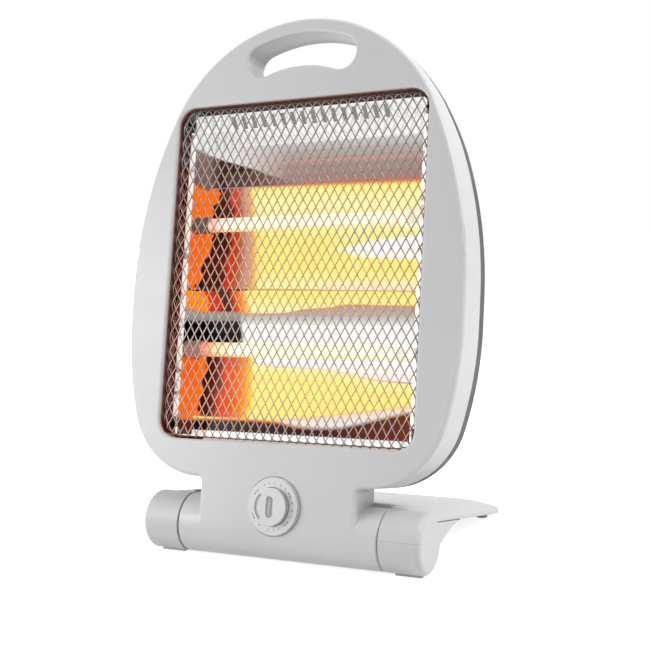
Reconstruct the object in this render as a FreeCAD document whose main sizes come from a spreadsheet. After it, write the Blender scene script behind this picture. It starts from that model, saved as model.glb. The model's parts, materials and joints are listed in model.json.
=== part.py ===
import FreeCAD, Part
import Sketcher
import math
import os
import re

# Quartz heater with two tubes: an egg-shaped housing on a barrel, and a folding stand
# whose end caps turn on the barrel's ends.
# The model is drawn upright with its origin on the barrel's axis: +X to the right,
# +Y to the back, +Z up. At the end every piece is leaned back together until the
# stand's feet lie on the floor, and is moved over the middle of its footprint.

SIZES = {
    # Barrel, neck and egg-shaped housing
    "barrel_radius": 20.0,
    "barrel_margin": 15.6,
    "barrel_wall": 2.5,
    "barrel_end_radius": 1.5,
    "body_width": 250.0,
    "body_top": 347.0,
    "crown_inset": 17.0,
    "waist_top": 160.0,
    "waist_length": 20.0,
    "hip_radius": 250.0,
    "jaw_radius": 55.0,
    "chin_height": 32.0,
    "parting_depth": 10.0,
    "back_depth": 23.0,
    "shell_wall": 2.5,
    "back_wall": 2.0,
    "front_edge_radius": 3.0,
    "back_edge_radius": 5.0,
    "neck_shoulder": 4.6,
    "neck_depth": 9.7,
    "neck_fillet": 3.5,
    # Window, its lip and the handle
    "corner_frame": 4.2,
    "bottom_frame": 25.0,
    "top_frame": 56.0,
    "window_radius": 13.0,
    "window_edge_radius": 2.0,
    "lip_wall": 2.0,
    "lip_depth": 8.0,
    "handle_rim": 10.0,
    "handle_gap": 23.0,
    "handle_span": 60.0,
    "handle_edge_radius": 2.0,
    # Bosses and screws that close the housing
    "boss_radius": 4.0,
    "boss_hole_radius": 1.6,
    "boss_hole_depth": 14.0,
    "side_boss_inset": 15.0,
    "side_boss_drop": 62.0,
    "crown_boss_inset": 42.0,
    "crown_boss_drop": 44.0,
    "jaw_boss_out": 21.4,
    "jaw_boss_rise": 13.0,
    "screw_radius": 1.5,
    "screw_length": 12.0,
    "screw_head_radius": 3.2,
    "screw_head_height": 1.8,
    "screw_hole_clearance": 0.2,
    # Air slots in the back
    "vent_width": 4.0,
    "vent_height": 26.0,
    "vent_pitch": 11.0,
    "upper_vent_drop": 85.0,
    "lower_vent_rise": 52.0,
    # Grille
    "grille_clearance": 0.3,
    "grille_setback": 2.5,
    "grille_skirt": 9.5,
    "grille_border": 3.0,
    "strand_width": 1.5,
    "strand_depth": 1.4,
    # Reflector, its end plates and the tubes
    "sheet_thickness": 1.0,
    "reflector_depth": 13.0,
    "ridge_forward": 2.0,
    "trough_radius": 110.0,
    "trough_edge": 39.0,
    "ceiling_drop": 24.0,
    "tube_radius": 5.0,
    "tube_wall": 1.2,
    "tube_overhang": 10.0,
    "element_radius": 2.4,
    "end_plate_inset": 7.0,
    "slot_width": 3.6,
    "slot_length": 7.5,
    "slot_margin": 1.5,
    "slot_pitch": 7.85,
    "ceramic_radius": 6.0,
    "ceramic_flange_radius": 6.8,
    "ceramic_flange": 3.0,
    "ceramic_inner": 13.0,
    "ceramic_outer": 16.0,
    "ceramic_clearance": 0.1,
    "pin_radius": 1.5,
    "pin_length": 6.0,
    # Control: dial ring, knob, shaft and rotary switch
    "knob_height": 16.3,
    "dial_radius": 18.4,
    "dial_thickness": 2.5,
    "dial_draft": 0.8,
    "knob_radius": 12.3,
    "knob_gap": 0.4,
    "knob_thickness": 6.2,
    "knob_dish": 0.6,
    "pointer_width": 5.0,
    "pointer_length": 14.0,
    "pointer_depth": 1.2,
    "finger_rim": 1.4,
    "finger_width": 2.0,
    "finger_depth": 0.8,
    "shaft_radius": 3.0,
    "shaft_clearance": 0.05,
    "shaft_reach": 3.6,
    "shaft_tail": 9.0,
    "switch_width": 24.0,
    "switch_height": 22.0,
    "switch_depth": 14.0,
    # Safety and wiring pieces inside the neck
    "cutout_radius": 7.0,
    "cutout_thickness": 6.0,
    "tip_switch_width": 22.0,
    "tip_switch_height": 20.0,
    "tip_switch_depth": 9.0,
    "terminal_width": 30.0,
    "terminal_height": 12.0,
    "terminal_depth": 9.0,
    "inner_height": 16.0,
    "gland_radius": 5.0,
    "gland_bore": 3.4,
    "gland_flange_radius": 7.0,
    "gland_flange": 2.0,
    "gland_rise": 14.0,
    # Stand: wing, end caps, hinge bushes and feet
    "hinge_gap": 1.0,
    "cap_length": 28.0,
    "cap_wall": 2.5,
    "cap_web": 3.0,
    "cap_end_radius": 4.0,
    "journal_radius": 9.0,
    "journal_clearance": 0.05,
    "collar_radius": 12.0,
    "collar_thickness": 3.0,
    "bush_plug": 4.0,
    "bush_bore": 5.0,
    "stand_depth": 150.0,
    "wing_crown": 22.0,
    "wing_side": 17.0,
    "wing_thickness": 4.0,
    "wing_roll": 37.0,
    "wing_edge_radius": 1.2,
    "stop_gap": 0.3,
    "wing_corner_radius": 10.0,
    "gusset_reach": 58.0,
    "gusset_radius": 75.0,
    "gusset_thickness": 3.0,
    "foot_height": 1.0,
    "front_foot_length": 18.0,
    "front_foot_width": 9.0,
    "rear_foot_radius": 4.0,
    "rear_foot_inset": 12.0,
    "wing_clearance": 0.8,
    "overrun": 2.0,
}

GRILLE_COLUMNS = 13
GRILLE_ROWS = 10
VENT_COUNT = 13
CEILING_SLOT_COUNT = 16
TERMINAL_COUNT = 3
ANGLE_TOLERANCE_SHARE = 0.001
FINGER_ACROSS_SHARE = 0.64

doc = FreeCAD.newDocument("quartz_heater")
sheet = doc.addObject("Spreadsheet::Sheet", "sizes")
for row, (alias, number) in enumerate(SIZES.items(), start=1):
    sheet.set("A%d" % row, alias)
    sheet.set("B%d" % row, str(number))
    sheet.setAlias("B%d" % row, alias)
doc.recompute()

parts = []


def qualify(text):
    """Put the sheet's name before each size named in an expression."""
    return re.sub(r"[a-z_]+", lambda word: "sizes." + word.group() if word.group() in SIZES else word.group(), text)


def value(text):
    """The number that an expression in named sizes gives."""
    return float(sheet.evalExpression(qualify(text)))


def bind(item, path, text):
    item.setExpression(path, qualify(text))


def finish(item, label):
    item.Label = label
    parts.append(item)
    return item


# Sketch helpers

def new_body(name):
    return doc.addObject("PartDesign::Body", name)


def new_sketch(body, role, offset):
    """A sketch on one of the body's own planes, moved along that plane's normal.

    The normal is -Y on XZ_Plane, +X on YZ_Plane and +Z on XY_Plane.
    """
    plane = [item for item in body.Origin.OriginFeatures if item.Role == role][0]
    sketch = body.newObject("Sketcher::SketchObject", body.Name + "_sketch")
    sketch.AttachmentSupport = [(plane, "")]
    sketch.MapMode = "FlatFace"
    bind(sketch, "AttachmentOffset.Base.z", offset)
    return sketch


def pin_point(sketch, geometry, point, across, up):
    for kind, text in (("DistanceX", across), ("DistanceY", up)):
        index = sketch.addConstraint(Sketcher.Constraint(kind, -1, 1, geometry, point, value(text)))
        bind(sketch, "Constraints[%d]" % index, text)


def add_circle(sketch, across, up, radius):
    centre = FreeCAD.Vector(value(across), value(up), 0)
    geometry = sketch.addGeometry(Part.Circle(centre, FreeCAD.Vector(0, 0, 1), value(radius)), False)
    index = sketch.addConstraint(Sketcher.Constraint("Radius", geometry, value(radius)))
    bind(sketch, "Constraints[%d]" % index, radius)
    pin_point(sketch, geometry, 3, across, up)


def arc_between(start, end, radius, turn):
    """An arc of under a half circle from start to end, turning left (ccw) or right (cw)."""
    chord = end - start
    side = FreeCAD.Vector(-chord.y, chord.x, 0).normalize()
    rise = math.sqrt(max(0.0, radius ** 2 - (chord.Length / 2) ** 2))
    centre = (start + end) * 0.5 + side * (rise if turn == "ccw" else -rise)
    first, last = (start, end) if turn == "ccw" else (end, start)
    from_angle = math.atan2(first.y - centre.y, first.x - centre.x)
    to_angle = math.atan2(last.y - centre.y, last.x - centre.x)
    if to_angle < from_angle:
        to_angle += 2 * math.pi
    return Part.ArcOfCircle(Part.Circle(centre, FreeCAD.Vector(0, 0, 1), radius), from_angle, to_angle)


def add_profile(sketch, corners):
    """A closed outline. A corner is (across, up) where a line leaves it, or
    (across, up, radius, turn) where an arc does."""
    places = [FreeCAD.Vector(value(corner[0]), value(corner[1]), 0) for corner in corners]
    edges = []
    for index, corner in enumerate(corners):
        start = places[index]
        end = places[(index + 1) % len(places)]
        if len(corner) == 2:
            geometry = sketch.addGeometry(Part.LineSegment(start, end), False)
            edges.append((geometry, 1, 2))
            continue
        radius, turn = corner[2:]
        geometry = sketch.addGeometry(arc_between(start, end, value(radius), turn), False)
        edges.append((geometry, 1, 2) if turn == "ccw" else (geometry, 2, 1))
        constraint = sketch.addConstraint(Sketcher.Constraint("Radius", geometry, value(radius)))
        bind(sketch, "Constraints[%d]" % constraint, radius)
    for index, corner in enumerate(corners):
        geometry, first, last = edges[index]
        following, following_first, _ = edges[(index + 1) % len(edges)]
        sketch.addConstraint(Sketcher.Constraint("Coincident", geometry, last, following, following_first))
        pin_point(sketch, geometry, first, corner[0], corner[1])


def add_rectangle(sketch, left, right, bottom, top):
    add_profile(sketch, [(left, bottom), (right, bottom), (right, top), (left, top)])


def add_round_rectangle(sketch, left, right, bottom, top, radius):
    add_profile(sketch, [
        (f"{left} + {radius}", bottom),
        (f"{right} - ({radius})", bottom, radius, "ccw"),
        (right, f"{bottom} + {radius}"),
        (right, f"{top} - ({radius})", radius, "ccw"),
        (f"{right} - ({radius})", top),
        (f"{left} + {radius}", top, radius, "ccw"),
        (left, f"{top} - ({radius})"),
        (left, f"{bottom} + {radius}", radius, "ccw"),
    ])


# Feature helpers

def extrude(kind, sketch, length, backwards=False, both_ways=False):
    body = sketch.getParentGeoFeatureGroup()
    feature = body.newObject("PartDesign::" + kind, body.Name + "_" + kind.lower())
    feature.Profile = sketch
    feature.Reversed = backwards
    if both_ways:
        feature.SideType = "Symmetric"
    bind(feature, "Length", length)
    return feature


def pad(sketch, length, backwards=False, both_ways=False):
    return extrude("Pad", sketch, length, backwards, both_ways)


def cut(sketch, length, backwards=False, both_ways=False):
    """A pocket that goes against the sketch's normal, or along it when backwards.

    The volume before and after shows that it met the solid.
    """
    body = sketch.getParentGeoFeatureGroup()
    doc.recompute()
    before = body.Shape.Volume
    feature = extrude("Pocket", sketch, length, backwards, both_ways)
    doc.recompute()
    if not body.Shape.Volume < before:
        raise RuntimeError("a pocket of %s cuts nothing" % body.Name)
    return feature


def turned(kind, sketch, degrees):
    """A revolution or groove about the sketch's own horizontal axis."""
    body = sketch.getParentGeoFeatureGroup()
    feature = body.newObject("PartDesign::" + kind, body.Name + "_" + kind.lower())
    feature.Profile = sketch
    feature.ReferenceAxis = (sketch, ["H_Axis"])
    feature.Angle = degrees
    return feature


def repeat(feature, sketch, axis, spacing, count):
    body = sketch.getParentGeoFeatureGroup()
    pattern = body.newObject("PartDesign::LinearPattern", body.Name + "_pattern")
    pattern.Originals = [feature]
    pattern.Direction = (sketch, [axis])
    pattern.Occurrences = count
    bind(pattern, "Length", f"({spacing}) * {count - 1}")
    body.Tip = pattern
    return pattern


def round_edges(body, radius, wanted):
    """Fillet the edges of the body's last feature for which wanted(edge) is true."""
    doc.recompute()
    base = body.Tip
    names = ["Edge%d" % (index + 1) for index, edge in enumerate(base.Shape.Edges) if wanted(edge)]
    if not names:
        raise RuntimeError("no edge of %s to round" % body.Name)
    fillet = body.newObject("PartDesign::Fillet", body.Name + "_fillet")
    fillet.Base = (base, names)
    bind(fillet, "Radius", radius)
    return fillet


def close_to(first, second):
    return abs(first - second) < value("overrun") * ANGLE_TOLERANCE_SHARE


def lies_at_depth(depth):
    """Edges that lie wholly in the plane y = depth."""
    def wanted(edge):
        box = edge.BoundBox
        return close_to(box.YMin, depth) and close_to(box.YMax, depth)
    return wanted


# Outlines that several pieces share

CROWN_RADIUS = "(body_width / 2 - crown_inset)"
CROWN_MIDDLE = f"(body_top - {CROWN_RADIUS})"
WAIST_BOTTOM = "(waist_top - waist_length)"
SHOULDER_RISE = f"({CROWN_MIDDLE} - waist_top)"
SHOULDER_RADIUS = f"(((body_width / 2)^2 + {SHOULDER_RISE}^2 - {CROWN_RADIUS}^2) / (2 * crown_inset))"
SHOULDER_RUN = f"({SHOULDER_RADIUS} - {CROWN_RADIUS})"
SHOULDER_X = f"({CROWN_RADIUS} * ({SHOULDER_RADIUS} - body_width / 2) / {SHOULDER_RUN})"
JAW_DROP = f"({WAIST_BOTTOM} - chin_height - jaw_radius)"
JAW_X = f"(body_width / 2 - hip_radius + sqrt((hip_radius - jaw_radius)^2 - {JAW_DROP}^2))"


def egg_corners(inset):
    """The housing's outline, drawn in by inset all round: crown, shoulders, waist, hips and jaws."""
    shoulder = f"({SHOULDER_RADIUS} - ({inset}))"
    crown = f"({CROWN_RADIUS} - ({inset}))"
    hip = f"(hip_radius - ({inset}))"
    jaw = f"(jaw_radius - ({inset}))"
    crown_x = f"({crown} / {CROWN_RADIUS} * {SHOULDER_X})"
    crown_z = f"({CROWN_MIDDLE} + {crown} * {SHOULDER_RISE} / {SHOULDER_RUN})"
    waist_x = f"(body_width / 2 - ({inset}))"
    hip_share = f"({hip} / (hip_radius - jaw_radius))"
    hip_x = f"(body_width / 2 - hip_radius + {hip_share} * ({JAW_X} - body_width / 2 + hip_radius))"
    hip_z = f"({WAIST_BOTTOM} - {hip_share} * {JAW_DROP})"
    chin_z = f"(chin_height + ({inset}))"
    return [
        (f"-{crown_x}", crown_z, crown, "cw"),
        (crown_x, crown_z, shoulder, "cw"),
        (waist_x, "waist_top"),
        (waist_x, WAIST_BOTTOM, hip, "cw"),
        (hip_x, hip_z, jaw, "cw"),
        (JAW_X, chin_z),
        (f"-{JAW_X}", chin_z, jaw, "cw"),
        (f"-{hip_x}", hip_z, hip, "cw"),
        (f"-{waist_x}", WAIST_BOTTOM),
        (f"-{waist_x}", "waist_top", shoulder, "cw"),
    ]


NECK_HALF = f"({JAW_X} - neck_shoulder)"
BARREL_HALF = f"({NECK_HALF} + barrel_margin)"


def face_corners():
    """The egg with its neck: the chin line turns down into the neck, which ends at the barrel's axis."""
    egg = egg_corners("0")
    flare = f"({NECK_HALF} + neck_fillet)"
    flare_z = "(chin_height - neck_fillet)"
    return egg[:6] + [
        (flare, "chin_height", "neck_fillet", "ccw"),
        (NECK_HALF, flare_z),
        (NECK_HALF, "0"),
        (f"-{NECK_HALF}", "0"),
        (f"-{NECK_HALF}", flare_z, "neck_fillet", "ccw"),
        (f"-{flare}", "chin_height"),
    ] + egg[6:]


def handle_corners(outset):
    """The handle's opening, a bent slot with round ends that follows the crown."""
    end_radius = f"(handle_gap / 2 + ({outset}))"
    handle_radius = f"({CROWN_RADIUS} - handle_rim - handle_gap / 2)"
    tilt_across = f"(handle_span / 2 / {handle_radius})"
    tilt_up = f"sqrt(1 - {tilt_across}^2)"
    outer = f"({handle_radius} + {end_radius})"
    inner = f"({handle_radius} - {end_radius})"
    end_x = f"(handle_span / 2 + {end_radius} * {tilt_up})"
    end_z = f"({CROWN_MIDDLE} + {handle_radius} * {tilt_up} - {end_radius} * {tilt_across})"
    return [
        (f"-{outer} * {tilt_across}", f"{CROWN_MIDDLE} + {outer} * {tilt_up}", outer, "cw"),
        (f"{outer} * {tilt_across}", f"{CROWN_MIDDLE} + {outer} * {tilt_up}", end_radius, "cw"),
        (end_x, end_z, end_radius, "cw"),
        (f"{inner} * {tilt_across}", f"{CROWN_MIDDLE} + {inner} * {tilt_up}", inner, "ccw"),
        (f"-{inner} * {tilt_across}", f"{CROWN_MIDDLE} + {inner} * {tilt_up}", end_radius, "cw"),
        (f"-{end_x}", end_z, end_radius, "cw"),
    ]


# The window's upper corners stay inside the crown, so its width follows from its height
WINDOW_BOTTOM = "(chin_height + bottom_frame)"
WINDOW_TOP = "(body_top - top_frame)"
WINDOW_HALF = (
    f"(window_radius + sqrt(({CROWN_RADIUS} - corner_frame - window_radius)^2"
    f" - ({WINDOW_TOP} - window_radius - {CROWN_MIDDLE})^2))")


def add_window(sketch, outset):
    add_round_rectangle(
        sketch,
        f"-({WINDOW_HALF} + ({outset}))", f"({WINDOW_HALF} + ({outset}))",
        f"({WINDOW_BOTTOM} - ({outset}))", f"({WINDOW_TOP} + ({outset}))",
        f"(window_radius + ({outset}))")


BOSSES = [
    (sign + out, height)
    for out, height in (
        ("(body_width / 2 - side_boss_inset)", "(waist_top - side_boss_drop)"),
        (f"({CROWN_RADIUS} - crown_boss_inset)", "(body_top - crown_boss_drop)"),
        (f"({JAW_X} + jaw_boss_out)", "(chin_height + jaw_boss_rise)"))
    for sign in ("", "-")]

FRONT_FACE = "barrel_radius"
FRONT_INSIDE = "(barrel_radius - shell_wall)"
BACK_INSIDE = "(back_depth - back_wall)"
BORE_RADIUS = "(barrel_radius - barrel_wall)"
GLAND_HEIGHT = "(chin_height + gland_rise)"


def half_disc_corners(radius, sign):
    """A half disc on the front (-) or back (+) side of the barrel's axis."""
    turn = "ccw" if sign == "-" else "cw"
    return [("0", radius, radius, turn), (f"{sign}{radius}", "0", radius, turn), ("0", f"-{radius}")]


# Housing

def barrel_end(edge):
    """The round edges at the barrel's two ends."""
    box = edge.BoundBox
    at_end = close_to(abs(box.XMin), value(BARREL_HALF)) and close_to(box.XMin, box.XMax)
    return at_end and box.YLength > value("barrel_wall") and edge.Curve.TypeId == "Part::GeomCircle"


def handle_rim(depth):
    """The edges of the handle's opening in the plane y = depth."""
    def wanted(edge):
        box = edge.BoundBox
        above = box.ZMin > value(f"{WINDOW_TOP} + lip_wall + window_edge_radius")
        return lies_at_depth(depth)(edge) and above and box.XLength < value("handle_span + 2 * handle_gap")
    return wanted


def make_front_shell():
    body = new_body("front_shell")
    face = new_sketch(body, "XZ_Plane", "0")
    add_profile(face, face_corners())
    pad(face, FRONT_FACE)

    def front_rim(edge):
        return lies_at_depth(-value(FRONT_FACE))(edge) and not close_to(edge.BoundBox.ZMax, 0)
    round_edges(body, "front_edge_radius", front_rim)
    rim = new_sketch(body, "XZ_Plane", "0")
    add_profile(rim, egg_corners("0"))
    pad(rim, "parting_depth", backwards=True)

    hollow = new_sketch(body, "XZ_Plane", "-(parting_depth + overrun)")
    add_profile(hollow, egg_corners("shell_wall"))
    cut(hollow, f"{FRONT_INSIDE} + parting_depth + overrun", backwards=True)

    barrel = new_sketch(body, "YZ_Plane", "0")
    add_profile(barrel, half_disc_corners("barrel_radius", "-"))
    pad(barrel, f"2 * {BARREL_HALF}", both_ways=True)
    round_edges(body, "barrel_end_radius", barrel_end)

    bore = new_sketch(body, "YZ_Plane", "0")
    add_profile(bore, half_disc_corners(BORE_RADIUS, "-"))
    cut(bore, f"2 * {BARREL_HALF} + overrun", both_ways=True)
    cavity = new_sketch(body, "XZ_Plane", "0")
    add_rectangle(cavity, f"-({NECK_HALF} - shell_wall)", f"{NECK_HALF} - shell_wall",
                  "0", "chin_height + shell_wall + overrun")
    cut(cavity, FRONT_INSIDE, backwards=True)

    lip = new_sketch(body, "XZ_Plane", FRONT_INSIDE)
    add_window(lip, "lip_wall")
    pad(lip, "lip_depth - shell_wall", backwards=True)
    window = new_sketch(body, "XZ_Plane", f"{FRONT_FACE} + overrun")
    add_window(window, "0")
    cut(window, "lip_depth + 2 * overrun")

    def window_rim(edge):
        box = edge.BoundBox
        inside = box.XMax < value(f"{WINDOW_HALF} + overrun") and box.ZMax < value(f"{WINDOW_TOP} + overrun")
        above = box.ZMin > value(f"{WINDOW_BOTTOM} - overrun")
        return lies_at_depth(-value(FRONT_FACE))(edge) and inside and above
    round_edges(body, "window_edge_radius", window_rim)

    grip = new_sketch(body, "XZ_Plane", FRONT_INSIDE)
    add_profile(grip, handle_corners("shell_wall"))
    pad(grip, f"{FRONT_INSIDE} + parting_depth", backwards=True)
    opening = new_sketch(body, "XZ_Plane", f"{FRONT_FACE} + overrun")
    add_profile(opening, handle_corners("0"))
    cut(opening, f"{FRONT_FACE} + parting_depth + 2 * overrun")
    round_edges(body, "handle_edge_radius", handle_rim(-value(FRONT_FACE)))

    bosses = new_sketch(body, "XZ_Plane", FRONT_INSIDE)
    for across, up in BOSSES:
        add_circle(bosses, across, up, "boss_radius")
    pad(bosses, f"{FRONT_INSIDE} + {BACK_INSIDE}", backwards=True)
    holes = new_sketch(body, "XZ_Plane", f"-({BACK_INSIDE} + overrun)")
    for across, up in BOSSES:
        add_circle(holes, across, up, "boss_hole_radius")
    cut(holes, "boss_hole_depth + overrun", backwards=True)

    shaft_hole = new_sketch(body, "XZ_Plane", f"{FRONT_FACE} + overrun")
    add_circle(shaft_hole, "0", "knob_height", "shaft_radius + knob_gap")
    cut(shaft_hole, "shell_wall + 2 * overrun")
    finish(body, "front_shell")


def make_rear_shell():
    body = new_body("rear_shell")
    outline = new_sketch(body, "XZ_Plane", "-parting_depth")
    add_profile(outline, egg_corners("0"))
    pad(outline, "back_depth - parting_depth", backwards=True)
    round_edges(body, "back_edge_radius", lies_at_depth(value("back_depth")))
    hollow = new_sketch(body, "XZ_Plane", "-(parting_depth - overrun)")
    add_profile(hollow, egg_corners("shell_wall"))
    cut(hollow, f"{BACK_INSIDE} - parting_depth + overrun")

    grip = new_sketch(body, "XZ_Plane", "-parting_depth")
    add_profile(grip, handle_corners("shell_wall"))
    pad(grip, f"{BACK_INSIDE} - parting_depth", backwards=True)
    opening = new_sketch(body, "XZ_Plane", "-(parting_depth - overrun)")
    add_profile(opening, handle_corners("0"))
    cut(opening, "back_depth - parting_depth + 2 * overrun")
    round_edges(body, "handle_edge_radius", handle_rim(value("back_depth")))

    for height in ("(body_top - upper_vent_drop)", "(chin_height + lower_vent_rise)"):
        vent = new_sketch(body, "XZ_Plane", f"-({BACK_INSIDE} - overrun)")
        first = f"(-vent_pitch * {(VENT_COUNT - 1) / 2})"
        add_rectangle(vent, f"{first} - vent_width / 2", f"{first} + vent_width / 2",
                      f"{height} - vent_height / 2", f"{height} + vent_height / 2")
        slot = cut(vent, "back_wall + 2 * overrun")
        repeat(slot, vent, "H_Axis", "vent_pitch", VENT_COUNT)

    holes = new_sketch(body, "XZ_Plane", f"-({BACK_INSIDE} - overrun)")
    for across, up in BOSSES:
        add_circle(holes, across, up, "screw_radius + screw_hole_clearance")
    add_circle(holes, NECK_HALF, GLAND_HEIGHT, "gland_radius")
    cut(holes, "back_wall + 2 * overrun")
    finish(body, "rear_shell")


def make_barrel_cover():
    body = new_body("barrel_cover")
    barrel = new_sketch(body, "YZ_Plane", "0")
    add_profile(barrel, half_disc_corners("barrel_radius", ""))
    pad(barrel, f"2 * {BARREL_HALF}", both_ways=True)
    round_edges(body, "barrel_end_radius", barrel_end)
    neck = new_sketch(body, "XZ_Plane", "0")
    add_rectangle(neck, f"-{NECK_HALF}", NECK_HALF, "0", "chin_height")
    pad(neck, "neck_depth", backwards=True)
    bore = new_sketch(body, "YZ_Plane", "0")
    add_profile(bore, half_disc_corners(BORE_RADIUS, ""))
    cut(bore, f"2 * {BARREL_HALF} + overrun", both_ways=True)
    cavity = new_sketch(body, "XZ_Plane", "overrun")
    add_rectangle(cavity, f"-({NECK_HALF} - shell_wall)", f"{NECK_HALF} - shell_wall",
                  "0", "chin_height - shell_wall")
    cut(cavity, "neck_depth - shell_wall + overrun")
    finish(body, "barrel_cover")


# Grille: one holed face with a skirt that turns back into the window

GRILLE_FRONT = "(barrel_radius - grille_setback)"
GRILLE_BACK = "(barrel_radius - grille_setback - grille_skirt)"


def round_rectangle_wire(half_width, bottom, top, radius, depth):
    left_x, right_x = -half_width, half_width
    inner_left, inner_right = left_x + radius, right_x - radius
    low, high = bottom + radius, top - radius
    lean = radius * math.sqrt(0.5)

    def point(x, z):
        return FreeCAD.Vector(x, depth, z)
    edges = [
        Part.LineSegment(point(inner_left, bottom), point(inner_right, bottom)),
        Part.Arc(point(inner_right, bottom), point(inner_right + lean, low - lean), point(right_x, low)),
        Part.LineSegment(point(right_x, low), point(right_x, high)),
        Part.Arc(point(right_x, high), point(inner_right + lean, high + lean), point(inner_right, top)),
        Part.LineSegment(point(inner_right, top), point(inner_left, top)),
        Part.Arc(point(inner_left, top), point(inner_left - lean, high + lean), point(left_x, high)),
        Part.LineSegment(point(left_x, high), point(left_x, low)),
        Part.Arc(point(left_x, low), point(inner_left - lean, low - lean), point(inner_left, bottom)),
    ]
    return Part.Wire([edge.toShape() for edge in edges])


def diamond_gaps(half_width, bottom, top, depth):
    """The gaps between two sets of crossing strands: whole diamonds, and halves along the border."""
    step_x = 2 * half_width / GRILLE_COLUMNS
    step_z = (top - bottom) / GRILLE_ROWS
    reach = step_x * step_z / (2 * math.hypot(step_x, step_z))
    shrink = 1 - value("strand_width") / 2 / reach
    half_x, half_z = shrink * step_x / 2, shrink * step_z / 2
    trim = value("strand_width") / 2
    side_z = half_z * (1 - trim / half_x)
    side_x = half_x * (1 - trim / half_z)
    gaps = []

    def add(centre_x, centre_z, offsets):
        gaps.append([FreeCAD.Vector(centre_x + x, depth, centre_z + z) for x, z in offsets])
    for column in range(GRILLE_COLUMNS):
        for level in range(GRILLE_ROWS):
            centre = (-half_width + (column + 0.5) * step_x, bottom + (level + 0.5) * step_z)
            add(*centre, [(half_x, 0), (0, half_z), (-half_x, 0), (0, -half_z)])
    for column in range(1, GRILLE_COLUMNS):
        centre_x = -half_width + column * step_x
        for level in range(1, GRILLE_ROWS):
            add(centre_x, bottom + level * step_z, [(half_x, 0), (0, half_z), (-half_x, 0), (0, -half_z)])
        add(centre_x, bottom, [(side_x, trim), (0, half_z), (-side_x, trim)])
        add(centre_x, top, [(side_x, -trim), (0, -half_z), (-side_x, -trim)])
    for level in range(1, GRILLE_ROWS):
        centre_z = bottom + level * step_z
        add(-half_width, centre_z, [(trim, side_z), (half_x, 0), (trim, -side_z)])
        add(half_width, centre_z, [(-trim, side_z), (-half_x, 0), (-trim, -side_z)])
    return gaps


def make_grille():
    clearance = value("grille_clearance")
    half_width = value(WINDOW_HALF) - clearance
    bottom = value(WINDOW_BOTTOM) + clearance
    top = value(WINDOW_TOP) - clearance
    radius = value("window_radius") - clearance
    strand = value("strand_depth")
    border = value("grille_border")
    front = -value(GRILLE_FRONT)
    rim = round_rectangle_wire(half_width, bottom, top, radius, front)
    gaps = diamond_gaps(half_width - border, bottom + border, top - border, front)
    wires = [Part.makePolygon(gap + gap[:1]) for gap in gaps]
    net = Part.makeFace([rim] + wires, "Part::FaceMakerBullseye").extrude(FreeCAD.Vector(0, strand, 0))
    inner = round_rectangle_wire(half_width - strand, bottom + strand, top - strand, radius - strand, front)
    ring = Part.makeFace([rim, inner], "Part::FaceMakerBullseye")
    skirt = ring.extrude(FreeCAD.Vector(0, value("grille_skirt"), 0))
    grille = doc.addObject("Part::Feature", "grille")
    grille.Shape = net.fuse(skirt).removeSplitter()
    finish(grille, "grille")


# Reflector, tubes and their ends

CEILING = f"({WINDOW_TOP} - grille_clearance - strand_depth)"
FLOOR = f"({WINDOW_BOTTOM} + grille_clearance + strand_depth)"
TUBE_SHARES = {"upper": 0.651, "lower": 0.271}
TUBE_HEIGHTS = {
    level: f"({WINDOW_BOTTOM} + {share} * ({WINDOW_TOP} - {WINDOW_BOTTOM}))" for level, share in TUBE_SHARES.items()}
TUBE_MIDDLE = f"(({TUBE_HEIGHTS['upper']} + {TUBE_HEIGHTS['lower']}) / 2)"
END_PLATE_OUT = f"({WINDOW_HALF} - end_plate_inset)"
TUBE_HALF = f"({END_PLATE_OUT} + tube_overhang)"
PLATE_BACK = BACK_INSIDE


def make_reflector():
    """A bent sheet: a slanted, slotted ceiling, two troughs that meet in a ridge, and a floor."""
    body = new_body("reflector")
    upper = f"({CEILING} - trough_edge)"
    lower = f"({FLOOR} + trough_edge / 2)"
    front = f"-{GRILLE_BACK}"
    inside = "reflector_depth"
    outside = "(reflector_depth + sheet_thickness)"
    slope = f"(ceiling_drop / ({inside} + {GRILLE_BACK}))"
    slant_thickness = f"(sheet_thickness * sqrt(1 + {slope}^2))"
    ridge = "-ridge_forward"
    ridge_back = "(sheet_thickness * 1.5 - ridge_forward)"
    outer_radius = "(trough_radius + sheet_thickness)"
    section = new_sketch(body, "YZ_Plane", "0")
    add_profile(section, [
        (front, CEILING),
        (front, f"{CEILING} - {slant_thickness}"),
        (inside, f"{CEILING} - {slant_thickness} - ceiling_drop"),
        (inside, upper, "trough_radius", "cw"),
        (ridge, TUBE_MIDDLE, "trough_radius", "cw"),
        (inside, lower),
        (f"{inside} - sheet_thickness", f"{FLOOR} + sheet_thickness"),
        (front, f"{FLOOR} + sheet_thickness"),
        (front, FLOOR),
        (inside, FLOOR),
        (outside, lower, outer_radius, "ccw"),
        (ridge_back, TUBE_MIDDLE, outer_radius, "ccw"),
        (outside, upper),
        (outside, f"{CEILING} - ceiling_drop - {slope} * sheet_thickness"),
    ])
    pad(section, f"2 * {END_PLATE_OUT}", both_ways=True)
    slot_sketch = new_sketch(body, "XY_Plane", f"{CEILING} + overrun")
    first = f"(-slot_pitch * {(CEILING_SLOT_COUNT - 1) / 2})"
    slot_front = f"({front} + slot_margin)"
    add_rectangle(slot_sketch, f"{first} - slot_width / 2", f"{first} + slot_width / 2",
                  slot_front, f"{slot_front} + slot_length")
    slot = cut(slot_sketch, f"{slant_thickness} + ceiling_drop + overrun")
    repeat(slot, slot_sketch, "H_Axis", "slot_pitch", CEILING_SLOT_COUNT)
    finish(body, "reflector")


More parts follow.
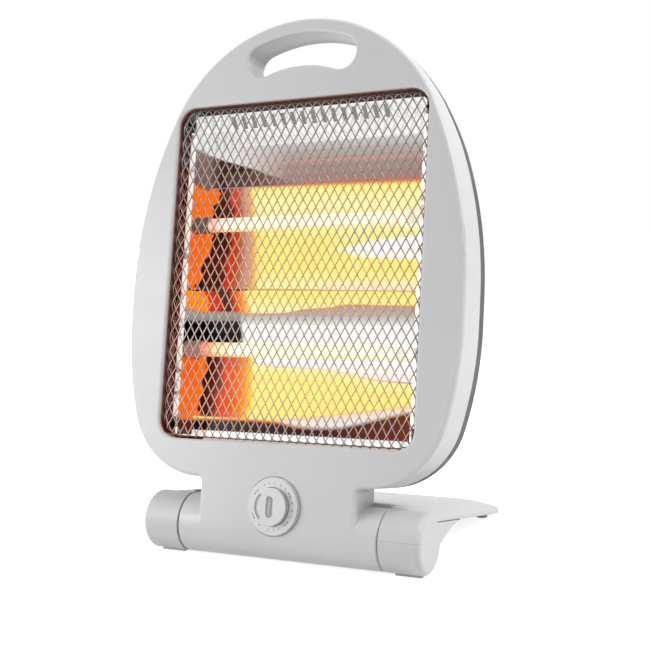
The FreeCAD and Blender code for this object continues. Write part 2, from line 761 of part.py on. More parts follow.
def make_end_plate(side, sign):
    """The plate at one end of the reflector, with a front flange and holes for the ceramics."""
    body = new_body(side + "_end_plate")
    plate = new_sketch(body, "YZ_Plane", f"{sign}{END_PLATE_OUT}")
    add_rectangle(plate, f"-{GRILLE_BACK}", PLATE_BACK, FLOOR, CEILING)
    pad(plate, "sheet_thickness", backwards=sign == "-")
    flange = new_sketch(body, "XZ_Plane", GRILLE_BACK)
    flange_edges = [f"{sign}{END_PLATE_OUT}", f"{sign}({WINDOW_HALF} - grille_clearance)"]
    left, right = flange_edges if sign == "" else reversed(flange_edges)
    add_rectangle(flange, left, right, f"{FLOOR} + window_radius", f"{CEILING} - window_radius")
    pad(flange, "sheet_thickness", backwards=True)
    holes = new_sketch(body, "YZ_Plane", f"{sign}({END_PLATE_OUT} - overrun)")
    for height in TUBE_HEIGHTS.values():
        add_circle(holes, "0", height, "ceramic_radius + ceramic_clearance")
    cut(holes, "sheet_thickness + 2 * overrun", backwards=sign == "")
    finish(body, side + "_end_plate")


def make_tube(level, height):
    body = new_body(level + "_quartz_tube")
    ring = new_sketch(body, "YZ_Plane", "0")
    add_circle(ring, "0", height, "tube_radius")
    add_circle(ring, "0", height, "tube_radius - tube_wall")
    pad(ring, f"2 * {TUBE_HALF}", both_ways=True)
    finish(body, level + "_quartz_tube")


def make_element(level, height):
    """The heating coil's envelope, held by the ceramics at both ends of its tube."""
    body = new_body(level + "_heating_element")
    core = new_sketch(body, "YZ_Plane", "0")
    add_circle(core, "0", height, "element_radius")
    pad(core, f"2 * {TUBE_HALF}", both_ways=True)
    finish(body, level + "_heating_element")


def make_ceramic(level, height, side, sign):
    """A stepped sleeve over a tube's end: its flange seats on the end plate's outer face."""
    name = f"{level}_{side}_ceramic"
    body = new_body(name)
    away = sign == ""
    seat = f"({END_PLATE_OUT} + sheet_thickness)"
    sleeve = new_sketch(body, "YZ_Plane", f"{sign}({END_PLATE_OUT} - ceramic_inner)")
    add_circle(sleeve, "0", height, "ceramic_radius")
    pad(sleeve, "ceramic_inner + sheet_thickness + ceramic_outer", backwards=not away)
    flange = new_sketch(body, "YZ_Plane", f"{sign}{seat}")
    add_circle(flange, "0", height, "ceramic_flange_radius")
    pad(flange, "ceramic_flange", backwards=not away)
    pin = new_sketch(body, "YZ_Plane", f"{sign}({seat} + ceramic_outer)")
    add_circle(pin, "0", height, "pin_radius")
    pad(pin, "pin_length", backwards=not away)
    socket = new_sketch(body, "YZ_Plane", f"{sign}{TUBE_HALF}")
    add_circle(socket, "0", height, "tube_radius + ceramic_clearance")
    cut(socket, "tube_overhang + ceramic_inner + overrun", backwards=not away)
    finish(body, name)


# Control

def make_dial_ring():
    body = new_body("dial_ring")
    face = new_sketch(body, "XZ_Plane", FRONT_FACE)
    add_circle(face, "0", "knob_height", "dial_radius + dial_draft")
    ring = pad(face, "dial_thickness")
    bind(ring, "TaperAngle", "-atan(dial_draft / dial_thickness)")
    hole = new_sketch(body, "XZ_Plane", f"{FRONT_FACE} + dial_thickness + overrun")
    add_circle(hole, "0", "knob_height", "knob_radius + knob_gap")
    cut(hole, "dial_thickness + 2 * overrun")
    finish(body, "dial_ring")


def make_control_knob():
    body = new_body("control_knob")
    disc = new_sketch(body, "XZ_Plane", f"{FRONT_FACE} + knob_gap")
    add_circle(disc, "0", "knob_height", "knob_radius")
    pad(disc, "knob_thickness")
    front = f"({FRONT_FACE} + knob_gap + knob_thickness)"
    round_edges(body, "knob_dish", lies_at_depth(-value(front)))
    groove = new_sketch(body, "XZ_Plane", f"{front} + overrun")
    half = "pointer_width / 2"
    low = f"knob_height + {half} - pointer_length / 2"
    high = f"knob_height - {half} + pointer_length / 2"
    add_profile(groove, [
        (f"-{half}", high),
        (f"-{half}", low, half, "ccw"),
        ("0", f"{low} - {half}", half, "ccw"),
        (half, low),
        (half, high, half, "ccw"),
        ("0", f"{high} + {half}", half, "ccw"),
    ])
    cut(groove, "pointer_depth + overrun")
    rim = "(knob_radius - finger_rim)"
    core = f"({rim} - finger_width)"
    across = FINGER_ACROSS_SHARE
    up = f"sqrt(1 - {across}^2)"
    finger = new_sketch(body, "XZ_Plane", f"{front} + overrun")
    add_profile(finger, [
        (f"-{across} * {rim}", f"knob_height + {up} * {rim}", rim, "ccw"),
        (f"-{across} * {rim}", f"knob_height - {up} * {rim}"),
        (f"-{across} * {core}", f"knob_height - {up} * {core}", core, "cw"),
        (f"-{across} * {core}", f"knob_height + {up} * {core}"),
    ])
    cut(finger, "finger_depth + overrun")
    socket = new_sketch(body, "XZ_Plane", f"{FRONT_FACE} + knob_gap - overrun")
    add_circle(socket, "0", "knob_height", "shaft_radius")
    cut(socket, "shaft_reach - knob_gap + overrun", backwards=True)
    finish(body, "control_knob")


def make_switch_shaft():
    body = new_body("switch_shaft")
    rod = new_sketch(body, "XZ_Plane", f"{FRONT_INSIDE} - shaft_tail")
    add_circle(rod, "0", "knob_height", "shaft_radius")
    pad(rod, "shaft_tail + shell_wall + shaft_reach")
    finish(body, "switch_shaft")


def make_rotary_switch():
    body = new_body("rotary_switch")
    case = new_sketch(body, "XZ_Plane", FRONT_INSIDE)
    add_rectangle(case, "-switch_width / 2", "switch_width / 2",
                  "knob_height - switch_height / 2", "knob_height + switch_height / 2")
    pad(case, "switch_depth", backwards=True)
    bore = new_sketch(body, "XZ_Plane", f"{FRONT_INSIDE} + overrun")
    add_circle(bore, "0", "knob_height", "shaft_radius + shaft_clearance")
    cut(bore, "shaft_tail + knob_gap + overrun")
    finish(body, "rotary_switch")


# Safety and wiring pieces

def make_thermal_cutout():
    body = new_body("thermal_cutout")
    disc = new_sketch(body, "YZ_Plane", f"{END_PLATE_OUT} + sheet_thickness")
    add_circle(disc, "0", TUBE_MIDDLE, "cutout_radius")
    pad(disc, "cutout_thickness")
    finish(body, "thermal_cutout")


NECK_INSIDE = "(neck_depth - shell_wall)"


def make_neck_box(label, out, width, height, depth):
    """A closed case screwed to the inside of the neck's rear cover."""
    body = new_body(label)
    case = new_sketch(body, "XZ_Plane", f"-{NECK_INSIDE}")
    add_rectangle(case, f"{out} - {width} / 2", f"{out} + {width} / 2",
                  f"inner_height - {height} / 2", f"inner_height + {height} / 2")
    pad(case, depth)
    finish(body, label)
    return body


def make_terminal_block():
    middle = f"(-{NECK_HALF} / 2)"
    body = make_neck_box("terminal_block", middle, "terminal_width", "terminal_height", "terminal_depth")
    wells = new_sketch(body, "XZ_Plane", f"terminal_depth - {NECK_INSIDE} + overrun")
    pitch = f"(terminal_width / {TERMINAL_COUNT})"
    for index in range(TERMINAL_COUNT):
        add_circle(wells, f"{middle} + {pitch} * {index - (TERMINAL_COUNT - 1) / 2}",
                   "inner_height", f"{pitch} / 3")
    cut(wells, "terminal_depth / 2 + overrun")


def make_cord_gland():
    body = new_body("cord_gland")
    flange = new_sketch(body, "XZ_Plane", "-back_depth")
    add_circle(flange, NECK_HALF, GLAND_HEIGHT, "gland_flange_radius")
    pad(flange, "gland_flange", backwards=True)
    neck = new_sketch(body, "XZ_Plane", "-back_depth")
    add_circle(neck, NECK_HALF, GLAND_HEIGHT, "gland_radius")
    pad(neck, "back_wall + gland_flange")
    bore = new_sketch(body, "XZ_Plane", "-back_depth")
    add_circle(bore, NECK_HALF, GLAND_HEIGHT, "gland_bore")
    cut(bore, "2 * (back_wall + 2 * gland_flange + overrun)", both_ways=True)
    finish(body, "cord_gland")


def make_rear_screws():
    """Six pan-head screws through the back into the bosses."""
    screws = []
    for across, up in BOSSES:
        head = doc.addObject("Part::Cylinder", "screw_head")
        bind(head, "Radius", "screw_head_radius")
        bind(head, "Height", "screw_head_height")
        shank = doc.addObject("Part::Cylinder", "screw_shank")
        bind(shank, "Radius", "screw_radius")
        bind(shank, "Height", "screw_length")
        quarter_turn = FreeCAD.Rotation(FreeCAD.Vector(1, 0, 0), 90)
        for item, depth in ((head, "back_depth + screw_head_height"), (shank, "back_depth")):
            item.Placement = FreeCAD.Placement(FreeCAD.Vector(0, 0, 0), quarter_turn)
            bind(item, "Placement.Base.x", across)
            bind(item, "Placement.Base.y", depth)
            bind(item, "Placement.Base.z", up)
        screw = doc.addObject("Part::Fuse", "rear_screw")
        screw.Base = head
        screw.Tool = shank
        screws.append(screw)
    group = doc.addObject("Part::Compound", "rear_screws")
    group.Links = screws
    finish(group, "rear_screws")


# Stand

CAP_START = f"({BARREL_HALF} + hinge_gap)"
CAP_END = f"({BARREL_HALF} + hinge_gap + cap_length)"
CAP_BORE = "(barrel_radius - cap_wall)"


def make_hinge_bush(side, sign):
    """A plug in the barrel's end with the journal and collar that the end cap turns on."""
    body = new_body(side + "_hinge_bush")
    section = new_sketch(body, "XY_Plane", "0")
    inner = f"({BARREL_HALF} - bush_plug)"
    web_end = f"({CAP_START} + cap_web + hinge_gap)"
    steps = [
        (inner, "bush_bore"), (inner, BORE_RADIUS), (BARREL_HALF, BORE_RADIUS),
        (BARREL_HALF, "journal_radius"), (web_end, "journal_radius"), (web_end, "collar_radius"),
        (f"{web_end} + collar_thickness", "collar_radius"), (f"{web_end} + collar_thickness", "bush_bore")]
    add_profile(section, [(f"{sign}({across})", up) for across, up in steps])
    turned("Revolution", section, 360)
    finish(body, side + "_hinge_bush")


def cap_outline(sign, half):
    """Half of an end cap's outer profile, to be turned about the barrel's axis."""
    turn = "cw" if (sign == "") == (half == "") else "ccw"
    points = [
        (CAP_START, "0"), (CAP_START, "barrel_radius"),
        (f"({CAP_END} - cap_end_radius)", "barrel_radius"),
        (CAP_END, "(barrel_radius - cap_end_radius)"), (CAP_END, "0")]
    corners = [(f"{sign}{across}", f"{half}{up}" if up != "0" else up) for across, up in points]
    corners[2] = corners[2] + ("cap_end_radius", turn)
    return corners


def cap_cavity(sign, half):
    """The room inside an end cap: the bearing hole, then the hollow beyond its web."""
    web_end = f"({CAP_START} + cap_web)"
    end_wall = f"({CAP_END} - cap_wall)"
    bearing = "(journal_radius + journal_clearance)"
    points = [
        (f"({CAP_START} - overrun)", "0"), (f"({CAP_START} - overrun)", bearing), (web_end, bearing),
        (web_end, CAP_BORE), (end_wall, CAP_BORE), (end_wall, "0")]
    return [(f"{sign}{across}", f"{half}{up}" if up != "0" else up) for across, up in points]


WING_DROP = "(wing_crown - wing_side)"
WING_RADIUS = f"((wing_roll^2 + {WING_DROP}^2) / (2 * {WING_DROP}))"


def make_stand_plate():
    """The wing, with the upper halves of both end caps and the gussets that carry it."""
    body = new_body("stand_plate")
    section = new_sketch(body, "XZ_Plane", "0")
    flat = f"({CAP_END} - wing_roll)"
    low_side = "(wing_side - wing_thickness)"
    low_crown = "(wing_crown - wing_thickness)"
    add_profile(section, [
        (f"-{CAP_END}", "wing_side", WING_RADIUS, "cw"),
        (f"-{flat}", "wing_crown"),
        (flat, "wing_crown", WING_RADIUS, "cw"),
        (CAP_END, "wing_side"),
        (CAP_END, low_side, WING_RADIUS, "ccw"),
        (flat, low_crown),
        (f"-{flat}", low_crown, WING_RADIUS, "ccw"),
        (f"-{CAP_END}", low_side),
    ])
    pad(section, "stand_depth", backwards=True)

    def rear_corner(edge):
        box = edge.BoundBox
        at_end = close_to(abs(box.XMin), value(CAP_END)) and close_to(box.XMin, box.XMax)
        return at_end and lies_at_depth(value("stand_depth"))(edge)
    round_edges(body, "wing_corner_radius", rear_corner)

    def wing_rim(edge):
        box = edge.BoundBox
        beside = abs(edge.CenterOfMass.x) > value(f"{CAP_END} - wing_corner_radius")
        behind = edge.CenterOfMass.y > value("stand_depth - wing_corner_radius")
        upright = box.ZLength > value("wing_thickness / 2") and box.YLength < value("wing_edge_radius")
        return (beside or behind) and not upright and not close_to(box.YMax, 0)
    round_edges(body, "wing_edge_radius", wing_rim)

    notch = new_sketch(body, "XY_Plane", "wing_crown + overrun")
    add_rectangle(notch, f"-{CAP_START}", CAP_START, "-overrun", "neck_depth + stop_gap")
    cut(notch, "wing_crown + 2 * overrun")

    for sign in ("", "-"):
        gusset = new_sketch(body, "YZ_Plane", f"{sign}({CAP_END} - gusset_thickness)")
        add_profile(gusset, [
            ("0", "0"),
            ("0", low_side),
            ("gusset_reach", low_side, "gusset_radius", "ccw"),
            ("barrel_radius", "0"),
        ])
        pad(gusset, "gusset_thickness", backwards=sign == "-")
        cap = new_sketch(body, "XY_Plane", "0")
        add_profile(cap, cap_outline(sign, ""))
        turned("Revolution", cap, 180)
        cavity = new_sketch(body, "XY_Plane", "0")
        add_profile(cavity, cap_cavity(sign, ""))
        turned("Groove", cavity, 180)
    return finish(body, "stand_plate")


def make_cap_cover(side, sign):
    """The lower half of an end cap."""
    body = new_body(side + "_cap_cover")
    outline = new_sketch(body, "XY_Plane", "0")
    add_profile(outline, cap_outline(sign, "-"))
    turned("Revolution", outline, 180)
    cavity = new_sketch(body, "XY_Plane", "0")
    add_profile(cavity, cap_cavity(sign, "-"))
    turned("Groove", cavity, 180)
    finish(body, side + "_cap_cover")


# The floor touches the front feet under the caps and the rear feet under the wing's corners

FLOOR_DISTANCE = value("barrel_radius + foot_height")
TIP_Y = value("stand_depth - wing_corner_radius / 4")
TIP_Z = value("wing_side - wing_thickness")
TIP_REACH = math.hypot(TIP_Y, TIP_Z)
LEAN = math.degrees(
    math.atan2(TIP_Z, TIP_Y) + math.asin((FLOOR_DISTANCE - value("wing_clearance")) / TIP_REACH))
FLOOR_TILT = FreeCAD.Rotation(FreeCAD.Vector(1, 0, 0), LEAN)


def make_front_feet():
    """Two rubber pads that fill the space between the floor and the round end caps."""
    pads = []
    for sign in ("", "-"):
        block = doc.addObject("Part::Box", "foot_block")
        bind(block, "Length", "front_foot_length")
        bind(block, "Width", "front_foot_width")
        bind(block, "Height", "foot_height * 2")
        out = value(f"{sign}({CAP_START} + cap_length / 2) - front_foot_length / 2")
        corner = FreeCAD.Vector(out, -value("front_foot_width") / 2, -FLOOR_DISTANCE)
        block.Placement = FreeCAD.Placement(FLOOR_TILT.multVec(corner), FLOOR_TILT)
        rod = doc.addObject("Part::Cylinder", "foot_seat")
        bind(rod, "Radius", "barrel_radius")
        bind(rod, "Height", f"2 * {CAP_END}")
        sideways = FreeCAD.Rotation(FreeCAD.Vector(0, 1, 0), 90)
        rod.Placement = FreeCAD.Placement(FreeCAD.Vector(-value(CAP_END), 0, 0), sideways)
        foot = doc.addObject("Part::Cut", "front_foot")
        foot.Base = block
        foot.Tool = rod
        pads.append(foot)
    group = doc.addObject("Part::Compound", "front_feet")
    group.Links = pads
    finish(group, "front_feet")


def make_rear_feet(wing):
    """Two rubber pegs between the floor and the curved underside of the wing's rear corners."""
    pegs = []
    across = value(f"{CAP_END} - rear_foot_inset")
    radius = value(WING_RADIUS)
    droop = radius - math.sqrt(radius ** 2 - value("wing_roll - rear_foot_inset") ** 2)
    depth = value("stand_depth - rear_foot_inset")
    height = value("wing_crown - wing_thickness") - droop
    for sign in (1, -1):
        under = FLOOR_TILT.inverted().multVec(FreeCAD.Vector(sign * across, depth, height))
        base = FreeCAD.Vector(under.x, under.y, -FLOOR_DISTANCE)
        peg = doc.addObject("Part::Cylinder", "foot_peg")
        bind(peg, "Radius", "rear_foot_radius")
        peg.Height = under.z + FLOOR_DISTANCE + value("wing_thickness") / 2
        peg.Placement = FreeCAD.Placement(FLOOR_TILT.multVec(base), FLOOR_TILT)
        foot = doc.addObject("Part::Cut", "rear_foot")
        foot.Base = peg
        foot.Tool = wing
        pegs.append(foot)
    group = doc.addObject("Part::Compound", "rear_feet")
    group.Links = pegs
    finish(group, "rear_feet")


for build in (make_front_shell, make_rear_shell, make_barrel_cover, make_grille, make_reflector):
    build()
for side, sign in (("left", "-"), ("right", "")):
    make_end_plate(side, sign)
    make_hinge_bush(side, sign)
    make_cap_cover(side, sign)
for level, height in TUBE_HEIGHTS.items():
    make_tube(level, height)
    make_element(level, height)
    make_ceramic(level, height, "left", "-")
    make_ceramic(level, height, "right", "")
make_dial_ring()
make_control_knob()
make_switch_shaft()
make_rotary_switch()
make_thermal_cutout()
make_neck_box("tip_over_switch", f"({NECK_HALF} / 2)", "tip_switch_width", "tip_switch_height", "tip_switch_depth")
make_terminal_block()
make_cord_gland()
make_rear_screws()
make_front_feet()
make_rear_feet(make_stand_plate())

doc.recompute()
for item in doc.Objects:
    if "Invalid" in item.State or "Error" in item.State:
        raise RuntimeError("%s did not build: %s" % (item.Label, item.State))

for item in parts:
    if item.Shape.isNull() or not item.Shape.isValid():
        raise RuntimeError("%s has no valid shape" % item.Label)

# Lean every piece back onto the floor, over the middle of the footprint
standing = FreeCAD.Placement(FreeCAD.Vector(0, 0, FLOOR_DISTANCE), FLOOR_TILT.inverted())
box = FreeCAD.BoundBox()
for item in parts:
    shape = item.Shape.copy()
    shape.Placement = standing.multiply(shape.Placement)
    box.add(shape.optimalBoundingBox(False))
centred = FreeCAD.Placement(FreeCAD.Vector(0, -box.Center.y, 0), FreeCAD.Rotation())
standing = centred.multiply(standing)

# The feet are cut with the wing where it was drawn, so all shapes are taken before any piece moves
os.makedirs("parts", exist_ok=True)
for item in reversed(parts):
    item.Placement = standing.multiply(item.Placement)
    item.Shape.exportStep("parts/%s.step" % item.Label)
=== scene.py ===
import json
import math

import bmesh
import bpy
from mathutils import Matrix, Vector


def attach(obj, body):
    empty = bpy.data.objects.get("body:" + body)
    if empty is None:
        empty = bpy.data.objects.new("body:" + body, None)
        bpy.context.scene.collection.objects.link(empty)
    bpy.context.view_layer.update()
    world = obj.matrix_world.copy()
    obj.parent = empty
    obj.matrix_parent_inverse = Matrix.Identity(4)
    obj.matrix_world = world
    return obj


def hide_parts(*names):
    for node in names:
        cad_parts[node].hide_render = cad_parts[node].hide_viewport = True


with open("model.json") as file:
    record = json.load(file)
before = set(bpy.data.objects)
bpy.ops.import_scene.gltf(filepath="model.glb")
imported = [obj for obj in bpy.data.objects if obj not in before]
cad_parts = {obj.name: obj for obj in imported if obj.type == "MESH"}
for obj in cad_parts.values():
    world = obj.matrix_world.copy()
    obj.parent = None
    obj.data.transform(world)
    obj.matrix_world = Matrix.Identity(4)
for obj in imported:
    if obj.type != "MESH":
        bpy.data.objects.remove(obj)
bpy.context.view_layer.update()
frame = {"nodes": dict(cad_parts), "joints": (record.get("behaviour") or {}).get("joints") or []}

scene = bpy.context.scene
joints = {joint["name"]: joint for joint in frame["joints"]}

# The heater is drawn upright about its barrel's axis, then leaned back with the CAD model
barrel_axis = Vector(joints["stand_fold"]["pos_m"])
knob_axis = Vector(joints["knob_turn"]["axis"])
lean = math.atan2(knob_axis.z, -knob_axis.y)
lean_back = Matrix.Translation(barrel_axis) @ Matrix.Rotation(-lean, 4, "X")

MM = 0.001
OFF, FULL = (0, 0, 0), (1, 1, 1)


def leaned(x, y, z):
    """A point given upright in millimetres, as a place on the leaning heater."""
    return lean_back @ Vector((x * MM, y * MM, z * MM))


def display(*levels):
    """A colour given as it looks on screen, 0 to 255, turned into light."""
    shares = [level / 255 for level in levels]
    return tuple(share / 12.92 if share < 0.04 else ((share + 0.055) / 1.055) ** 2.4 for share in shares)


# Building blocks for the finishes

def finish_material(name, color, roughness, metallic=0.0):
    material = bpy.data.materials.new(name)
    material.use_nodes = True
    shader = material.node_tree.nodes["Principled BSDF"]
    shader.inputs["Base Color"].default_value = (*color, 1)
    shader.inputs["Roughness"].default_value = roughness
    shader.inputs["Metallic"].default_value = metallic
    return material, material.node_tree, shader


def object_coordinates(tree):
    return tree.nodes.new("ShaderNodeTexCoord").outputs["Object"]


def upright_axes(tree):
    """The surface's place as upright X, Y and Z in millimetres, so that paint follows the heater's lines."""
    mapping = tree.nodes.new("ShaderNodeMapping")
    mapping.inputs["Rotation"].default_value = (lean, 0, 0)
    mapping.inputs["Location"].default_value = Matrix.Rotation(lean, 4, "X") @ -barrel_axis / MM
    mapping.inputs["Scale"].default_value = (1 / MM,) * 3
    tree.links.new(object_coordinates(tree), mapping.inputs["Vector"])
    split = tree.nodes.new("ShaderNodeSeparateXYZ")
    tree.links.new(mapping.outputs["Vector"], split.inputs["Vector"])
    return split.outputs


def upright_normal(tree):
    """The way that the surface faces, as upright X, Y and Z."""
    turn = tree.nodes.new("ShaderNodeVectorRotate")
    turn.rotation_type = "X_AXIS"
    turn.inputs["Angle"].default_value = lean
    tree.links.new(tree.nodes.new("ShaderNodeTexCoord").outputs["Normal"], turn.inputs["Vector"])
    split = tree.nodes.new("ShaderNodeSeparateXYZ")
    tree.links.new(turn.outputs["Vector"], split.inputs["Vector"])
    return split.outputs


def noise(tree, scale, detail=4.0):
    node = tree.nodes.new("ShaderNodeTexNoise")
    node.inputs["Scale"].default_value = scale
    node.inputs["Detail"].default_value = detail
    tree.links.new(object_coordinates(tree), node.inputs["Vector"])
    return node.outputs["Fac"]


def plug(tree, socket, value):
    if isinstance(value, (int, float)):
        socket.default_value = value
    else:
        tree.links.new(value, socket)


def calculate(tree, operation, first, second):
    node = tree.nodes.new("ShaderNodeMath")
    node.operation = operation
    plug(tree, node.inputs[0], first)
    plug(tree, node.inputs[1], second)
    return node.outputs["Value"]


def product(tree, first, *others):
    for other in others:
        first = calculate(tree, "MULTIPLY", first, other)
    return first


def size_of(tree, value):
    return calculate(tree, "ABSOLUTE", value, 0.0)


def past(tree, value, limit):
    """How far a value lies outside plus or minus the limit."""
    return calculate(tree, "MAXIMUM", calculate(tree, "SUBTRACT", size_of(tree, value), limit), 0.0)


def jitter(tree, scale, detail, reach):
    """Noise about nought, spread over the reach given."""
    return calculate(tree, "MULTIPLY", calculate(tree, "SUBTRACT", noise(tree, scale, detail), 0.5), reach)


def distance(tree, first, second):
    """The length of two sides at right angles, taken together."""
    corner = tree.nodes.new("ShaderNodeCombineXYZ")
    tree.links.new(first, corner.inputs["X"])
    tree.links.new(second, corner.inputs["Y"])
    reach = tree.nodes.new("ShaderNodeVectorMath")
    reach.operation = "LENGTH"
    tree.links.new(corner.outputs["Vector"], reach.inputs[0])
    return reach.outputs["Value"]


def spread(tree, value, low, high):
    """A value turned into a share from low to high."""
    node = tree.nodes.new("ShaderNodeMapRange")
    node.inputs["From Min"].default_value = low
    node.inputs["From Max"].default_value = high
    tree.links.new(value, node.inputs["Value"])
    return node.outputs["Result"]


def ramp(tree, value, stops, smooth="LINEAR"):
    """Colours by value: each stop is the value and its colour."""
    low, high = stops[0][0], stops[-1][0]
    node = tree.nodes.new("ShaderNodeValToRGB")
    node.color_ramp.interpolation = smooth
    elements = node.color_ramp.elements
    while len(elements) < len(stops):
        elements.new(0.5)
    for element, (place, color) in zip(elements, stops):
        element.position = (place - low) / (high - low)
        element.color = (*color, 1)
    tree.links.new(spread(tree, value, low, high), node.inputs["Fac"])
    return node.outputs["Color"]


def zone(tree, value, low, high, softness):
    """One between two values, nought outside them."""
    return ramp(tree, value, [(low - softness, OFF), (low, FULL), (high, FULL), (high + softness, OFF)])


def border(tree, across, points):
    """The height of a wavy line at each place across, through the points given."""
    xs = [point[0] for point in points]
    zs = [point[1] for point in points]
    node = tree.nodes.new("ShaderNodeFloatCurve")
    curve = node.mapping.curves[0]
    while len(curve.points) < len(points):
        curve.points.new(0.5, 0.5)
    for place, (x, z) in zip(curve.points, points):
        place.location = ((x - xs[0]) / (xs[-1] - xs[0]), (z - min(zs)) / (max(zs) - min(zs)))
    node.mapping.update()
    tree.links.new(spread(tree, across, xs[0], xs[-1]), node.inputs["Value"])
    height = tree.nodes.new("ShaderNodeMapRange")
    height.inputs["To Min"].default_value = min(zs)
    height.inputs["To Max"].default_value = max(zs)
    tree.links.new(node.outputs["Value"], height.inputs["Value"])
    return height.outputs["Result"]


def below(tree, height, line, softness):
    """How far a place lies under a wavy line, and one under it, nought above it."""
    drop = calculate(tree, "SUBTRACT", line, height)
    return drop, spread(tree, drop, -softness, softness)


def blend(tree, factor, first, second, mode="MIX"):
    """The first colour with the second laid over it where the factor is one."""
    node = tree.nodes.new("ShaderNodeMix")
    node.data_type = "RGBA"
    node.blend_type = mode
    plug(tree, node.inputs["Factor"], factor)
    for socket, color in ((node.inputs["A"], first), (node.inputs["B"], second)):
        if isinstance(color, tuple):
            socket.default_value = (*color, 1)
        else:
            tree.links.new(color, socket)
    return node.outputs["Result"]


def surface_bump(tree, shader, height, strength, depth):
    node = tree.nodes.new("ShaderNodeBump")
    node.inputs["Strength"].default_value = strength
    node.inputs["Distance"].default_value = depth
    tree.links.new(height, node.inputs["Height"])
    tree.links.new(node.outputs["Normal"], shader.inputs["Normal"])


def glow(tree, shader, color):
    # Painted light: the colour given is emitted from the part's surface.
    tree.links.new(color, shader.inputs["Emission Color"])
    shader.inputs["Emission Strength"].default_value = 1.0


# Plain plastics and metals

FLOW_SCALE, GLOSS_SCALE, GRAIN_SCALE, HAZE_SCALE = 14.0, 60.0, 350.0, 40.0
GRAIN_STRENGTH, GRAIN_DEPTH = 0.03, 0.0001


def moulded_plastic(name, color, roughness, spark=0.04):
    """Moulded plastic: faint flow marks in the colour, a fine texture in the gloss."""
    material, tree, shader = finish_material(name, color, roughness)
    dark = tuple(channel * (1 - spark) for channel in color)
    tint = ramp(tree, noise(tree, FLOW_SCALE, 3.0), [(0.3, dark), (0.7, color)])
    tree.links.new(tint, shader.inputs["Base Color"])
    dull, shiny = (roughness * 1.15,) * 3, (roughness * 0.85,) * 3
    gloss = ramp(tree, noise(tree, GLOSS_SCALE), [(0.3, shiny), (0.7, dull)])
    tree.links.new(gloss, shader.inputs["Roughness"])
    surface_bump(tree, shader, noise(tree, GRAIN_SCALE, 1.0), GRAIN_STRENGTH, GRAIN_DEPTH)
    return material


def bright_metal(name, color, roughness):
    """Plated or polished metal with faint haze."""
    material, tree, shader = finish_material(name, color, roughness, 1.0)
    clear, hazy = (roughness * 0.6,) * 3, (roughness * 1.5,) * 3
    haze = ramp(tree, noise(tree, HAZE_SCALE), [(0.3, clear), (0.75, hazy)])
    tree.links.new(haze, shader.inputs["Roughness"])
    return material


def opened(plastic):
    """A moulded plastic's node tree, its shader and the colour that it has so far."""
    tree = plastic.node_tree
    shader = tree.nodes["Principled BSDF"]
    return tree, shader, shader.inputs["Base Color"].links[0].from_socket


# Housing: the glow's light and shade are painted on the window's inner wall, and the carry slot is pale
# right through

WINDOW_HALF, WINDOW_MIDDLE, WINDOW_HALF_HEIGHT, WINDOW_CORNER = 95.0, 174.0, 117.0, 13.0
WALL_REACH = 1.8
LIP_EDGE, LIP_INNER, LIP_BACK = -19.7, -17.0, -12.0
FOOT_WALL_TOP, FOOT_WALL_FOOT = 60.5, 59.0
CROWN_MIDDLE, SLOT_REACH = 239.0, 101.0
SLOT_LOW, SLOT_FRONT, WALL_FACING = 304.0, -18.8, 0.75
SLOT_WHITE, SLOT_SHADE = (0.9, 0.9, 0.9), (0.5, 0.5, 0.5)
INNER_HALF, INNER_FACING = 84.0, -0.5
UNDER_SHEET_LIGHT, BEHIND_SLOTS_LIGHT = display(196, 188, 184), display(136, 132, 128)
LIP_SHADE = display(66, 44, 40)
DIAL_HEIGHT, DIAL_REACH = 16.3, 19.3
GAP_WIDTH, GAP_SOFTNESS, GAP_SHADE = 0.3, 0.2, (0.22, 0.22, 0.22)
KNOB_FACE, KNOB_GROOVE, GROOVE_SOFTNESS = 11.0, -26.2, 0.2
GROOVE_LIGHT, GROOVE_SHADE = (0.6, 0.6, 0.61), (0.36, 0.36, 0.37)
PARTING, PARTING_HALF, PARTING_SOFTNESS = 1.0, 0.12, 0.15
PARTING_FRONT, PARTING_SHADE = -5.0, (0.5, 0.5, 0.5)


def from_dial(tree, axes):
    """How far a place lies from the dial's middle."""
    return distance(tree, axes["X"], calculate(tree, "SUBTRACT", axes["Z"], DIAL_HEIGHT))


def slot_wall(tree, axes):
    """One on the walls of the carry slot, which lie inside the crown's rim."""
    lifted = calculate(tree, "SUBTRACT", axes["Z"], CROWN_MIDDLE)
    to_front_or_back = size_of(tree, upright_normal(tree)["Y"])
    return product(tree, calculate(tree, "LESS_THAN", distance(tree, axes["X"], lifted), SLOT_REACH),
                   calculate(tree, "GREATER_THAN", axes["Z"], SLOT_LOW),
                   calculate(tree, "GREATER_THAN", axes["Y"], SLOT_FRONT),
                   calculate(tree, "LESS_THAN", to_front_or_back, WALL_FACING))


def slot_color(tree):
    """Pale on the slot's ends and sill, with painted shade on its upper wall, which faces down."""
    return ramp(tree, upright_normal(tree)["Z"], [
        (-0.95, SLOT_SHADE), (-0.5, SLOT_SHADE), (0.0, SLOT_WHITE), (1.0, SLOT_WHITE)])


